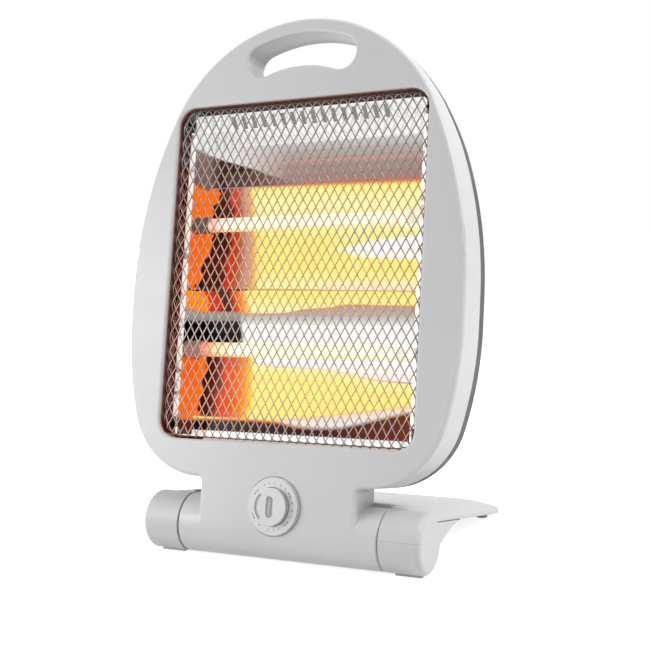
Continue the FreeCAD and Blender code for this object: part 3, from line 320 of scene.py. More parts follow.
def housing_plastic():
    """Pale plastic with the glow's light and shade painted on the window's wall, and a painted shadow in the
    gap round the dial.
    """
    material = moulded_plastic("shell_plastic", (0.7, 0.7, 0.71), 0.34)
    tree, shader, plain = opened(material)
    axes = upright_axes(tree)
    beside = past(tree, axes["X"], WINDOW_HALF - WINDOW_CORNER)
    raised = calculate(tree, "SUBTRACT", axes["Z"], WINDOW_MIDDLE)
    above = past(tree, raised, WINDOW_HALF_HEIGHT - WINDOW_CORNER)
    inside = calculate(tree, "LESS_THAN", distance(tree, beside, above), WINDOW_CORNER + WALL_REACH)
    behind = spread(tree, axes["Y"], LIP_EDGE, LIP_INNER)
    # Painted light and shade on the window's inner wall: pale pink by the lip where the glow lights it, dark
    # brown deeper in.
    painted_glow_and_shade = ramp(tree, axes["Y"], [
        (LIP_EDGE, display(226, 178, 170)),
        (LIP_INNER, display(104, 46, 34)),
        (LIP_BACK, display(66, 24, 15))])
    # Painted light: the wall at the window's foot is pale where the glow lights it.
    foot_wall = spread(tree, axes["Z"], FOOT_WALL_TOP, FOOT_WALL_FOOT)
    painted_glow_and_shade = blend(tree, foot_wall, painted_glow_and_shade, display(232, 214, 208))
    plain = blend(tree, slot_wall(tree, axes), plain, slot_color(tree))
    # Painted shadow in the gap between the dial and the housing.
    gap_shadow = zone(tree, from_dial(tree, axes), DIAL_REACH, DIAL_REACH + GAP_WIDTH, GAP_SOFTNESS)
    plain = blend(tree, gap_shadow, plain, GAP_SHADE)
    tree.links.new(blend(tree, product(tree, inside, behind), plain, painted_glow_and_shade), shader.inputs["Base Color"])
    return material


def back_plastic():
    """Dark back, pale in the carry slot, with light painted inside where the slots and the gap under the
    sheet show it.
    """
    material = moulded_plastic("rear_plastic", (0.088, 0.09, 0.093), 0.45, 0.15)
    tree, shader, plain = opened(material)
    axes = upright_axes(tree)
    shader.inputs["Specular IOR Level"].default_value = 0.25
    tree.links.new(blend(tree, slot_wall(tree, axes), plain, slot_color(tree)), shader.inputs["Base Color"])
    # Painted light on the inner face: pale under the sheet, grey behind the slots, with painted shade under
    # the lip.
    inner = product(tree, calculate(tree, "LESS_THAN", upright_normal(tree)["Y"], INNER_FACING),
                    calculate(tree, "LESS_THAN", size_of(tree, axes["X"]), INNER_HALF))
    lit = ramp(tree, axes["Z"], [
        (56.0, UNDER_SHEET_LIGHT), (66.0, UNDER_SHEET_LIGHT), (70.0, OFF), (255.0, OFF),
        (262.0, BEHIND_SLOTS_LIGHT), (291.8, BEHIND_SLOTS_LIGHT), (293.0, LIP_SHADE), (300.0, LIP_SHADE)])
    glow(tree, shader, blend(tree, inner, OFF, lit))
    return material


def turned_plastic(name, color, roughness, side_shade, groove_depth=None):
    """Dial plastic with painted shade on the walls that face right, and painted light and shade in its
    pressed grooves.
    """
    material = moulded_plastic(name, color, roughness)
    tree, shader, plain = opened(material)
    # Painted shade on the walls that face right.
    shaded_side = spread(tree, upright_normal(tree)["X"], 0.1, 0.8)
    plain = blend(tree, shaded_side, plain, side_shade)
    if groove_depth is not None:
        axes = upright_axes(tree)
        sunk = spread(tree, axes["Y"], groove_depth - GROOVE_SOFTNESS, groove_depth + GROOVE_SOFTNESS)
        on_face = calculate(tree, "LESS_THAN", from_dial(tree, axes), KNOB_FACE)
        # Painted light and shade on the groove's floor: lit on its left half, shaded on its right.
        floor = ramp(tree, axes["X"], [
            (-2.6, GROOVE_LIGHT), (-0.4, GROOVE_LIGHT), (0.3, GROOVE_SHADE), (2.6, GROOVE_SHADE)])
        plain = blend(tree, product(tree, sunk, on_face), plain, floor)
    tree.links.new(plain, shader.inputs["Base Color"])
    return material


def parted_plastic():
    """The stand's plastic, with the mould's parting line along the front of its two barrel caps."""
    material = moulded_plastic("stand_plastic", (0.65, 0.65, 0.66), 0.4, 0.02)
    tree, shader, plain = opened(material)
    axes = upright_axes(tree)
    level = zone(tree, axes["Z"], PARTING - PARTING_HALF, PARTING + PARTING_HALF, PARTING_SOFTNESS)
    line = product(tree, level, calculate(tree, "LESS_THAN", axes["Y"], PARTING_FRONT))
    tree.links.new(blend(tree, line, plain, PARTING_SHADE), shader.inputs["Base Color"])
    return material


shell_plastic = housing_plastic()
stand_plastic = parted_plastic()
rear_plastic = back_plastic()
dial_plastic = turned_plastic("dial_plastic", (0.8, 0.8, 0.8), 0.3, (0.47, 0.47, 0.47))
knob_plastic = turned_plastic("knob_plastic", (0.8, 0.8, 0.81), 0.28, (0.34, 0.34, 0.34), KNOB_GROOVE)
bush_plastic = moulded_plastic("bush_plastic", (0.35, 0.36, 0.38), 0.4)
black_plastic = moulded_plastic("black_plastic", (0.03, 0.03, 0.034), 0.5, 0.2)
cream_plastic = moulded_plastic("cream_plastic", (0.7, 0.64, 0.52), 0.45)
foot_rubber = moulded_plastic("foot_rubber", (0.7, 0.7, 0.7), 0.75, 0.15)
gland_rubber = moulded_plastic("gland_rubber", (0.04, 0.04, 0.042), 0.7, 0.2)
mark_paint = moulded_plastic("mark_paint", (0.13, 0.13, 0.14), 0.5, 0.2)
screw_zinc = bright_metal("screw_zinc", (0.6, 0.6, 0.61), 0.3)
cutout_metal = bright_metal("cutout_metal", (0.7, 0.7, 0.71), 0.3)
element_wire = bright_metal("element_wire", (0.7, 0.35, 0.15), 0.4)


# Hot pieces: the light that they give off is painted where they are hot, and the sheets round them have the
# glow's reflections and shade painted on as light

YELLOW = display(255, 241, 138)
PALE_YELLOW = display(255, 248, 182)
WHITE_HOT = display(253, 250, 246)
ORANGE = display(255, 112, 14)
DEEP_YELLOW = display(255, 146, 18)
EDGE_ORANGE = display(255, 138, 52)
BROWN = display(66, 28, 20)
BLACK = display(10, 7, 7)
DULL_MIRROR = display(150, 140, 136)
GREY_MIRROR = display(158, 146, 140)
ROSE_MIRROR = display(164, 128, 120)
JOINT_LINE = display(190, 140, 70)
JOINT_SHADE = display(44, 20, 14)
# Painted light: the sheet as pale as the glow makes it.
LIT_WHITE_SHEET = display(226, 225, 224)
MIRRORED_WIRE = display(194, 192, 190)
# The sheets' steel is made nearly black, so that their painted reflections show in place of real ones.
DARK_SHEET = (0.02, 0.017, 0.015)
PALE_SHEET = (0.2, 0.2, 0.2)
BACK_SHEET = (0.45, 0.45, 0.44)
FLANGE_STEEL = (0.45, 0.45, 0.45)

UPPER_TUBE, LOWER_TUBE = 209.3, 120.4
CEILING_BACK, CEILING_FADE = 267.6, 1.4
BORDER_FADE = (287.6, 288.2)
FLOOR_STRIP = 63.1
SHEET_TILT = 0.015
FACING_TUBES = 0.05
CELL_WIDTH, CELL_HEIGHT, MIRRORED_CELL = 6.6, 11.5, 8.6
MIRRORED_EDGE, MIRRORED_CORE = 0.13, 0.08

# The cool end's mirror images, by height, and the places where they fade into the glow
UPPER_IMAGE, JOINT_IMAGE = (163.2, 240.2), (161.9, 163.0)
RIDGE_IMAGE, LOWER_IMAGE = (147.0, 161.7), (73.5, 116.0)
SHADOW_IMAGE, SHADOW_FADE = (117.0, 147.5), (-50.0, -53.0)
GLOW_FADE, TORN_FADE, TROUGH_FADE = (-40.0, -44.0), (-58.0, -66.0), (239.4, 240.6)
PLATE_IMAGE, NARROW_FROM, NARROWING = -82.0, 192.0, 0.0065
CORNER_FADE, WEDGE_FADE = (-22.0, -66.0), (-8.0, -14.0)


def upper_trough_light(tree, across, height):
    """Yellow in the upper trough, a grey mirror above it and a white wedge that widens to the right."""
    tilted = calculate(tree, "ADD", height, calculate(tree, "MULTIPLY", across, SHEET_TILT))
    color = ramp(tree, tilted, [
        (148.0, PALE_YELLOW), (158.0, YELLOW), (161.5, YELLOW), (161.8, JOINT_LINE), (162.4, JOINT_LINE),
        (162.8, PALE_YELLOW), (176.0, YELLOW), (188.0, YELLOW), (200.0, display(255, 240, 140)),
        (214.0, PALE_YELLOW), (228.0, PALE_YELLOW), (237.6, YELLOW), (239.0, EDGE_ORANGE),
        (240.4, display(190, 120, 102)), (244.0, ROSE_MIRROR), (253.6, display(168, 142, 134)),
        (256.0, display(204, 152, 138)), (257.8, display(176, 156, 148)), (264.0, display(186, 176, 170)),
        (CEILING_BACK, display(204, 200, 196))])
    top = border(tree, across, [
        (-90, 191), (13, 191.6), (33, 194.7), (50, 197.7), (73, 199.6), (90, 200.5)])
    foot = border(tree, across, [
        (-90, 192), (13, 191.6), (35, 186.7), (53, 184.5), (76, 183.1), (90, 182.5)])
    under_top = below(tree, height, top, 1.5)[1]
    over_foot = calculate(tree, "SUBTRACT", 1.0, below(tree, height, foot, 1.5)[1])
    # Painted reflection of the white-hot tube, widening to the right.
    whiter = ramp(tree, across, [(8.0, OFF), (22.0, (0.6,) * 3), (42.0, FULL), (90.0, FULL)])
    color = blend(tree, product(tree, under_top, over_foot, whiter), color, WHITE_HOT)
    # Painted highlight along the ridge between the troughs.
    on_ridge = product(tree, zone(tree, tilted, 163.0, 166.0, 1.2), spread(tree, across, 0.0, 36.0))
    return blend(tree, on_ridge, color, display(253, 238, 211))


def lower_trough_light(tree, across, height, color):
    """A wavy grey and white band over the lower tube, yellow under it, then white and painted shade on the
    dark floor.
    """
    wave = border(tree, across, [
        (-90, 147), (-22, 147.1), (1, 149.8), (20, 150.9), (38, 152.9), (56, 152.4), (90, 152)])
    drop, hidden = below(tree, height, wave, 0.4)
    band = ramp(tree, height, [
        (110.0, WHITE_HOT), (138.5, WHITE_HOT), (141.5, display(220, 214, 210)),
        (146.0, display(188, 174, 167)), (153.0, display(178, 154, 146))])
    band = blend(tree, spread(tree, drop, 1.8, 0.0), band, display(226, 140, 100))
    color = blend(tree, hidden, color, band)

    fall = border(tree, across, [
        (-90, 113), (-46, 112.8), (-20, 110.8), (18, 108.9), (36, 106.4), (54, 103.1), (90, 101.8)])
    drop, hidden = below(tree, height, fall, 0.8)
    yellow = ramp(tree, drop, [(0.0, PALE_YELLOW), (8.0, YELLOW), (30.0, YELLOW)])
    edge = ramp(tree, across, [(40.0, display(244, 214, 170)), (72.0, display(150, 92, 80))])
    yellow = blend(tree, spread(tree, drop, 1.2, 0.2), yellow, edge)
    color = blend(tree, hidden, color, yellow)

    rise = border(tree, across, [
        (-90, 60), (-26, 69), (-20, 72.7), (6, 75.8), (35, 80), (61, 84), (90, 87.5)])
    drop, hidden = below(tree, height, rise, 0.8)
    white = ramp(tree, drop, [
        (-1.0, EDGE_ORANGE), (1.2, display(246, 226, 206)), (4.0, display(244, 233, 224))])
    color = blend(tree, hidden, color, white)

    foot = border(tree, across, [
        (-90, 71.5), (-25, 72.4), (3, 69.6), (22, 70.1), (40, 73.2), (57, 77.7), (90, 86)])
    drop, hidden = below(tree, height, foot, 0.8)
    # Painted shade on the trough's floor under the foot line: near black at the left, red-brown at the
    # right.
    dark = ramp(tree, across, [
        (-90.0, display(20, 9, 8)), (0.0, display(42, 17, 14)),
        (50.0, display(86, 30, 19)), (90.0, display(112, 42, 27))])
    edge = ramp(tree, across, [(-20.0, EDGE_ORANGE), (15.0, display(196, 184, 178))])
    dark = blend(tree, spread(tree, drop, 2.4, 0.4), dark, edge)
    return blend(tree, hidden, color, dark)


def cool_end_light(tree, across, height, color):
    """The cooler left end: the end plate's painted reflection in each trough, a black painted shadow
    between, a dark painted wedge on top.
    """
    ripple = jitter(tree, 45.0, 2.0, 5.0)
    torn = product(tree, jitter(tree, 110.0, 1.0, 15.0), spread(tree, across, *TORN_FADE))
    place = calculate(tree, "ADD", calculate(tree, "ADD", across, ripple), torn)
    at_left = spread(tree, place, *GLOW_FADE)
    narrower = calculate(tree, "MULTIPLY", calculate(tree, "SUBTRACT", height, NARROW_FROM), NARROWING)
    from_plate = calculate(tree, "SUBTRACT", place, PLATE_IMAGE)
    upper_place = calculate(tree, "ADD", place, product(tree, from_plate, narrower))
    upper_left = spread(tree, upper_place, *GLOW_FADE)
    upper = ramp(tree, upper_place, [
        (-90.0, ORANGE), (-83.0, ORANGE), (-81.0, BLACK), (-77.0, BROWN), (-72.0, display(48, 18, 14)),
        (-67.0, display(88, 28, 18)), (-63.0, display(206, 50, 18)), (-59.0, display(192, 56, 28)),
        (-55.0, display(178, 104, 88)), (-51.0, display(206, 148, 136)), (-47.0, display(216, 160, 132)),
        (-44.0, display(252, 196, 96)), (-40.0, YELLOW)])
    color = blend(tree, product(tree, upper_left, zone(tree, height, *UPPER_IMAGE, 0.4)), color, upper)
    color = blend(tree, product(tree, at_left, zone(tree, height, *JOINT_IMAGE, 0.2)), color, JOINT_SHADE)
    middle = ramp(tree, place, [
        (-90.0, DEEP_YELLOW), (-79.0, display(255, 140, 16)), (-77.0, display(224, 52, 20)),
        (-68.0, display(190, 44, 18)), (-65.0, BROWN), (-58.0, BROWN), (-54.0, display(220, 62, 20)),
        (-49.0, display(250, 120, 24)), (-40.0, YELLOW)])
    color = blend(tree, product(tree, at_left, zone(tree, height, *RIDGE_IMAGE, 0.3)), color, middle)
    lower = ramp(tree, place, [
        (-90.0, ORANGE), (-84.0, ORANGE), (-82.0, BLACK), (-78.0, display(56, 22, 16)),
        (-70.0, display(110, 34, 18)), (-66.0, display(216, 54, 18)), (-57.0, display(236, 84, 22)),
        (-50.0, display(252, 132, 26)), (-44.0, display(255, 206, 60)), (-40.0, YELLOW)])
    color = blend(tree, product(tree, at_left, zone(tree, height, *LOWER_IMAGE, 1.0)), color, lower)
    shadow = ramp(tree, height, [
        (116.0, display(104, 62, 52)), (124.0, display(84, 50, 44)), (125.5, BLACK), (141.0, BLACK),
        (142.5, DULL_MIRROR), (149.0, GREY_MIRROR)])
    in_shadow = product(tree, spread(tree, place, *SHADOW_FADE), zone(tree, height, *SHADOW_IMAGE, 1.0))
    color = blend(tree, in_shadow, color, shadow)

    slope = border(tree, across, [
        (-90, 265.5), (-81, 262), (-62, 256), (-48, 251.6), (-32, 246), (-10, 242), (90, 238)])
    hidden = below(tree, height, slope, 0.8)[1]
    over_trough = spread(tree, height, *TROUGH_FADE)
    fading = ramp(tree, across, [
        (-90.0, display(124, 102, 94)), (-78.0, display(62, 30, 26)), (-60.0, display(52, 20, 17)),
        (-42.0, display(108, 66, 60)), (-12.0, ROSE_MIRROR)])
    white_corner = product(tree, spread(tree, across, *CORNER_FADE), over_trough)
    color = blend(tree, white_corner, color, LIT_WHITE_SHEET)
    return blend(tree, product(tree, hidden, over_trough, spread(tree, across, *WEDGE_FADE)), color, fading)


def mirrored_net(tree, axes):
    """One along the grille's wires, painted as the slanted ceiling's reflection of them."""
    across = calculate(tree, "DIVIDE", axes["X"], CELL_WIDTH)
    up = calculate(tree, "DIVIDE", axes["Z"], MIRRORED_CELL)
    lines = []
    for operation in ("ADD", "SUBTRACT"):
        step = calculate(tree, "FRACT", calculate(tree, operation, across, up), 0.0)
        off_line = size_of(tree, calculate(tree, "SUBTRACT", step, 0.5))
        lines.append(spread(tree, off_line, MIRRORED_EDGE, MIRRORED_CORE))
    return calculate(tree, "MAXIMUM", *lines)


def lit_reflector():
    """Bright sheet with the tubes' glow painted in its two troughs as reflections, and a pale ceiling and
    floor painted as lit.
    """
    material, tree, shader = finish_material("lit_reflector", DARK_SHEET, 0.22, 1.0)
    axes = upright_axes(tree)
    across, height = axes["X"], axes["Z"]
    color = upper_trough_light(tree, across, height)
    color = lower_trough_light(tree, across, height, color)
    color = cool_end_light(tree, across, height, color)
    floor = spread(tree, height, FLOOR_STRIP + 0.4, FLOOR_STRIP - 0.2)
    ceiling = spread(tree, height, CEILING_BACK, CEILING_BACK + CEILING_FADE)
    # Painted light: the ceiling and the floor strip are pale as the glow lights them.
    pale = calculate(tree, "MAXIMUM", floor, ceiling)
    net_reflection = blend(tree, product(tree, ceiling, mirrored_net(tree, axes)), LIT_WHITE_SHEET, MIRRORED_WIRE)
    color = blend(tree, pale, color, net_reflection)
    under_lip = product(tree, ceiling, spread(tree, height, *BORDER_FADE))
    color = blend(tree, under_lip, color, LIP_SHADE)
    # The painted light and reflections are emitted only on the side that faces the tubes.
    facing_tubes = calculate(tree, "LESS_THAN", upright_normal(tree)["Y"], FACING_TUBES)
    glow(tree, shader, blend(tree, facing_tubes, OFF, color))
    steel = blend(tree, facing_tubes, BACK_SHEET, DARK_SHEET)
    bright = product(tree, pale, facing_tubes, calculate(tree, "SUBTRACT", 1.0, under_lip))
    tree.links.new(blend(tree, bright, steel, PALE_SHEET), shader.inputs["Base Color"])
    return material


FLANGE_BACK, FLANGE_FRONT = -6.6, -6.9
LEFT_FLANGE, RIGHT_FLANGE, FLANGE_FADE = -91.4, 90.4, 0.6
CREASE_SLOPE, CREASE_FOOT, CREASE_TOP = 1.15, 76.5, (96.0, 94.0)
OUTER_FACE = 5.0


def lit_plate():
    """An end plate with the glow painted on: painted glints along its front flange, orange where it faces
    the tubes, with painted shade along a dark crease.
    """
    material, tree, shader = finish_material("lit_plate", DARK_SHEET, 0.25, 1.0)
    axes = upright_axes(tree)
    uneven = calculate(tree, "MULTIPLY", noise(tree, 60.0, 2.0), 1.5)
    height = calculate(tree, "ADD", axes["Z"], uneven)
    color = ramp(tree, height, [
        (62.0, BROWN), (70.0, display(96, 40, 28)), (71.5, ORANGE), (92.0, display(250, 104, 16)),
        (114.0, display(244, 92, 14)), (116.0, display(112, 62, 48)), (125.0, display(92, 56, 48)),
        (126.5, BLACK), (141.0, BLACK), (142.5, DULL_MIRROR), (149.5, GREY_MIRROR),
        (151.0, display(255, 140, 14)), (163.0, DEEP_YELLOW), (163.6, BROWN), (164.6, BROWN),
        (165.4, ORANGE), (200.0, display(252, 98, 10)), (238.0, ORANGE), (240.0, display(140, 80, 60)),
        (243.0, display(116, 96, 88)), (264.0, display(126, 106, 98)), (267.0, LIT_WHITE_SHEET),
        (290.0, LIT_WHITE_SHEET)])
    # Painted shade along a wavy crease.
    raised = calculate(tree, "SUBTRACT", height, CREASE_FOOT)
    fold = calculate(tree, "SUBTRACT", calculate(tree, "MULTIPLY", axes["Y"], CREASE_SLOPE), raised)
    wavy = calculate(tree, "ADD", fold, calculate(tree, "MULTIPLY", noise(tree, 70.0, 3.0), 5.0))
    crease_shade = product(tree, zone(tree, wavy, 1.4, 3.6, 0.6), spread(tree, height, *CREASE_TOP))
    color = blend(tree, crease_shade, color, BROWN)
    outwards = product(tree, upright_normal(tree)["X"], axes["X"])
    color = blend(tree, calculate(tree, "GREATER_THAN", outwards, OUTER_FACE), color, OFF)
    flange = spread(tree, axes["Y"], FLANGE_BACK, FLANGE_FRONT)
    edge = product(tree, flange, spread(tree, axes["X"], RIGHT_FLANGE + FLANGE_FADE, RIGHT_FLANGE),
                   spread(tree, axes["X"], LEFT_FLANGE - FLANGE_FADE, LEFT_FLANGE))
    # Painted light: the front flange dim red-brown, with painted glints along its edge.
    color = blend(tree, flange, color, display(84, 32, 20))
    glint = ramp(tree, noise(tree, 160.0, 3.0), [
        (0.36, display(96, 90, 86)), (0.44, display(216, 212, 208)), (0.7, display(240, 238, 235))])
    glow(tree, shader, blend(tree, edge, color, glint))
    tree.links.new(blend(tree, edge, DARK_SHEET, FLANGE_STEEL), shader.inputs["Base Color"])
    return material


def lit_quartz(name, axis_height, cold_end, warm_end, middle):
    """Milky quartz, white-hot along its length and cooler at its left end, with painted shading across it.
    """
    material, tree, shader = finish_material(name, (0.3, 0.28, 0.26), 0.25)
    axes = upright_axes(tree)
    along = ramp(tree, axes["X"], [
        (-98.0, BROWN), (-75.0, cold_end), (-70.0, cold_end), (-64.0, warm_end), (-46.0, middle),
        (98.0, middle)])
    # Painted shading across the tube, warmer towards its top and bottom edges.
    rounded_shading = ramp(tree, calculate(tree, "SUBTRACT", axes["Z"], axis_height), [
        (-5.0, display(255, 226, 178)), (-2.6, FULL), (2.6, FULL), (5.0, display(255, 236, 214))], "EASE")
    glow(tree, shader, blend(tree, 1.0, along, rounded_shading, "MULTIPLY"))
    return material


def lit_ceramic(name, color, light):
    """Matt steatite with the glow beside it painted on as light."""
    material = moulded_plastic(name, color, 0.6, 0.15)
    tree = material.node_tree
    shader = tree.nodes["Principled BSDF"]
    dim = tuple(channel * 0.7 for channel in light)
    glow(tree, shader, ramp(tree, noise(tree, 90.0), [(0.35, dim), (0.65, light)]))
    return material


reflector_sheet = lit_reflector()
plate_sheet = lit_plate()
upper_quartz = lit_quartz(
    "upper_quartz", UPPER_TUBE, display(226, 176, 164), display(250, 228, 216), display(252, 244, 222))
lower_quartz = lit_quartz(
    "lower_quartz", LOWER_TUBE, display(238, 112, 74), display(255, 208, 132), display(254, 246, 214))
# Lit and shaded copies of one steatite, by how much glow falls on each holder.
shaded_ceramic = lit_ceramic("shaded_ceramic", (0.12, 0.11, 0.1), display(52, 44, 40))
dim_lit_ceramic = lit_ceramic("dim_lit_ceramic", (0.2, 0.17, 0.15), display(122, 92, 80))
bright_lit_ceramic = lit_ceramic("bright_lit_ceramic", (0.3, 0.28, 0.26), display(254, 248, 228))

node_finish = {
    "front_shell": shell_plastic, "barrel_cover": shell_plastic, "rear_shell": rear_plastic,
    "reflector": reflector_sheet, "left_end_plate": plate_sheet, "right_end_plate": plate_sheet,
    "upper_quartz_tube": upper_quartz, "lower_quartz_tube": lower_quartz,
    "upper_heating_element": element_wire, "lower_heating_element": element_wire,
    "upper_left_ceramic": shaded_ceramic, "upper_right_ceramic": bright_lit_ceramic,
    "lower_left_ceramic": dim_lit_ceramic, "lower_right_ceramic": bright_lit_ceramic,
    "dial_ring": dial_plastic, "control_knob": knob_plastic, "switch_shaft": screw_zinc,
    "rotary_switch": black_plastic, "tip_over_switch": black_plastic, "terminal_block": cream_plastic,
    "thermal_cutout": cutout_metal, "cord_gland": gland_rubber, "rear_screws": screw_zinc,
    "left_hinge_bush": bush_plastic, "right_hinge_bush": bush_plastic,
    "stand_plate": stand_plastic, "left_cap_cover": stand_plastic, "right_cap_cover": stand_plastic,
    "front_feet": foot_rubber, "rear_feet": foot_rubber, "grille": screw_zinc,
}
for node, finish in node_finish.items():
    for material_slot in frame["nodes"][node].material_slots:
        material_slot.material = finish


def add_piece(name, mesh, material, body):
    piece = bpy.data.objects.new(name, mesh)
    scene.collection.objects.link(piece)
    mesh.materials.clear()
    mesh.materials.append(material)
    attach(piece, body)
    return piece


# Crown: behind its front lip the housing grows thinner towards the carry slot

TAPER_START, TAPER_END, TAPER_STEPS = 252.0, 322.0, 14
LIP_DEPTH, SEAM_DEPTH = -8.0, 10.0
SIDE_LOSS, BACK_LOSS = 0.72, 0.42
SHARP_ANGLE = math.radians(32)
MERGE_REACH, CUT_REACH = 0.001 * MM, 0.0001 * MM


def thinned(place):
    """Where a point of the housing goes as its crown is drawn forward."""
    x, y, z = lean_back.inverted() @ place / MM
    share = max(0.0, min(1.0, (z - TAPER_START) / (TAPER_END - TAPER_START)))
    share = share * share * (3 - 2 * share)
    side = max(0.0, min(y, SEAM_DEPTH) - LIP_DEPTH)
    back = max(0.0, y - SEAM_DEPTH)
    return leaned(x, y - share * (side * SIDE_LOSS + back * BACK_LOSS), z)


def make_thin_crown(name, node):
    """A copy of a CAD piece, cut across in steps along the taper and drawn forward there."""
    shape = bmesh.new()
    shape.from_mesh(frame["nodes"][node].data)
    bmesh.ops.remove_doubles(shape, verts=shape.verts, dist=MERGE_REACH)
    upwards = lean_back.to_3x3() @ Vector((0, 0, 1))
    backwards = lean_back.to_3x3() @ Vector((0, 1, 0))
    cuts = [(leaned(0, LIP_DEPTH, 0), backwards), (leaned(0, SEAM_DEPTH, 0), backwards)]
    for step in range(TAPER_STEPS + 1):
        height = TAPER_START + (TAPER_END - TAPER_START) * step / TAPER_STEPS
        cuts.append((leaned(0, 0, height), upwards))
    for place, facing in cuts:
        everything = shape.verts[:] + shape.edges[:] + shape.faces[:]
        bmesh.ops.bisect_plane(shape, geom=everything, dist=CUT_REACH, plane_co=place, plane_no=facing)
    for vertex in shape.verts:
        vertex.co = thinned(vertex.co)
    mesh = bpy.data.meshes.new(name)
    shape.to_mesh(mesh)
    shape.free()
    if "custom_normal" in mesh.attributes:
        mesh.attributes.remove(mesh.attributes["custom_normal"])
    mesh.polygons.foreach_set("use_smooth", [True] * len(mesh.polygons))
    mesh.set_sharp_from_angle(angle=SHARP_ANGLE)
    piece = add_piece(name, mesh, node_finish[node], "heater")
    even = piece.modifiers.new("even_shading", "WEIGHTED_NORMAL")
    even.weight = 100
    even.keep_sharp = True
    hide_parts(node)


# Grille: two sets of crossing wires, folded back round the window's border

NET_HALF_WIDTH = 94.0
NET_LOW, NET_HIGH, NET_MARGIN = 58.0, 290.0, 20.0
NET_CORNER = 12.0
NET_FRONT = -16.6
FOLD_RADIUS = 3.0
SKIRT = 5.0
WIRE_RADIUS = 0.47
CROSSING_LIFT = 1.4 * WIRE_RADIUS
STEP = 1.2

# The wires' painted light and shade by what they cross, and where these begin and end on the net
OVER_WHITE, OVER_YELLOW, OVER_RED = (0.29, 0.27, 0.265), (0.5, 0.33, 0.16), (0.43, 0.235, 0.185)
OVER_FLOOR, OVER_BLACK, OVER_LIP = (0.33, 0.23, 0.21), (0.32, 0.3, 0.295), (0.3, 0.18, 0.155)
OVER_WEDGE, HEM_SHADE = (0.36, 0.285, 0.262), (0.3, 0.25, 0.24)
LOW_GLOW, HIGH_GLOW = (78.0, 106.0), (146.0, 228.0)
WHITE_WEDGE, WHITE_WEDGE_FADE = (185.0, 200.0), (26.0, 44.0)
DARK_WEDGE, DARK_WEDGE_FADE = (233.0, 255.0), (0.0, -20.0)
COOL_FADE, COOL_TOP_FADE, COOL_SHADOW = (-38.0, -50.0), (250.0, 242.0), (124.0, 142.0)
LIP_START, LIP_FULL = -84.0, -89.0
FLOOR_TOP_FADE, FLOOR_FOOT_FADE = (77.0, 72.0), (62.0, 65.0)
HEM_FADE, HEM_DEPTH_FADE = (283.0, 286.0), (NET_FRONT + 1.2, NET_FRONT + 2.4)


def folded(x, z, lift):
    """A place in the flat net, folded back where it passes the window's border."""
    middle = (NET_LOW + NET_HIGH) / 2
    core_x = NET_HALF_WIDTH - NET_CORNER
    core_z = (NET_HIGH - NET_LOW) / 2 - NET_CORNER
    round_core = NET_CORNER - FOLD_RADIUS
    near = Vector((max(-core_x, min(core_x, x)), max(-core_z, min(core_z, z - middle))))
    out = Vector((x, z - middle)) - near
    beyond = out.length - round_core
    if beyond <= 0:
        return leaned(x, NET_FRONT + lift, z), beyond
    turn = min(beyond / FOLD_RADIUS, math.pi / 2)
    reach = round_core + (FOLD_RADIUS - lift) * math.sin(turn)
    straight = max(0.0, beyond - FOLD_RADIUS * math.pi / 2)
    back = FOLD_RADIUS - (FOLD_RADIUS - lift) * math.cos(turn) + straight
    place = near + out.normalized() * reach
    return leaned(place.x, NET_FRONT + back, place.y + middle), beyond


def net_wire(curve, start_x, slope, lift):
    """One straight wire of the flat net that leaves the window's foot at start_x."""
    limit = FOLD_RADIUS * math.pi / 2 + SKIRT
    rise = math.hypot(1.0, slope)
    points = []
    length = (NET_HIGH - NET_LOW + 2 * NET_MARGIN) * rise / abs(slope)
    for index in range(int(length / STEP)):
        along = index * STEP
        x = start_x + along / rise * math.copysign(1, slope)
        z = NET_LOW - NET_MARGIN + along / rise * abs(slope)
        place, beyond = folded(x, z, lift)
        if beyond < limit:
            points.append((place, beyond))
    kept = [place for index, (place, beyond) in enumerate(points)
            if beyond > -STEP or index in (0, len(points) - 1)]
    if len(kept) < 3:
        return
    spline = curve.splines.new("POLY")
    spline.points.add(len(kept) - 1)
    for point, place in zip(spline.points, kept):
        point.co = (*place, 1)


def mesh_of_curve(curve):
    holder = bpy.data.objects.new(curve.name, curve)
    scene.collection.objects.link(holder)
    bpy.context.view_layer.update()
    mesh = bpy.data.meshes.new_from_object(holder.evaluated_get(bpy.context.evaluated_depsgraph_get()))
    bpy.data.objects.remove(holder)
    mesh.polygons.foreach_set("use_smooth", [True] * len(mesh.polygons))
    return mesh


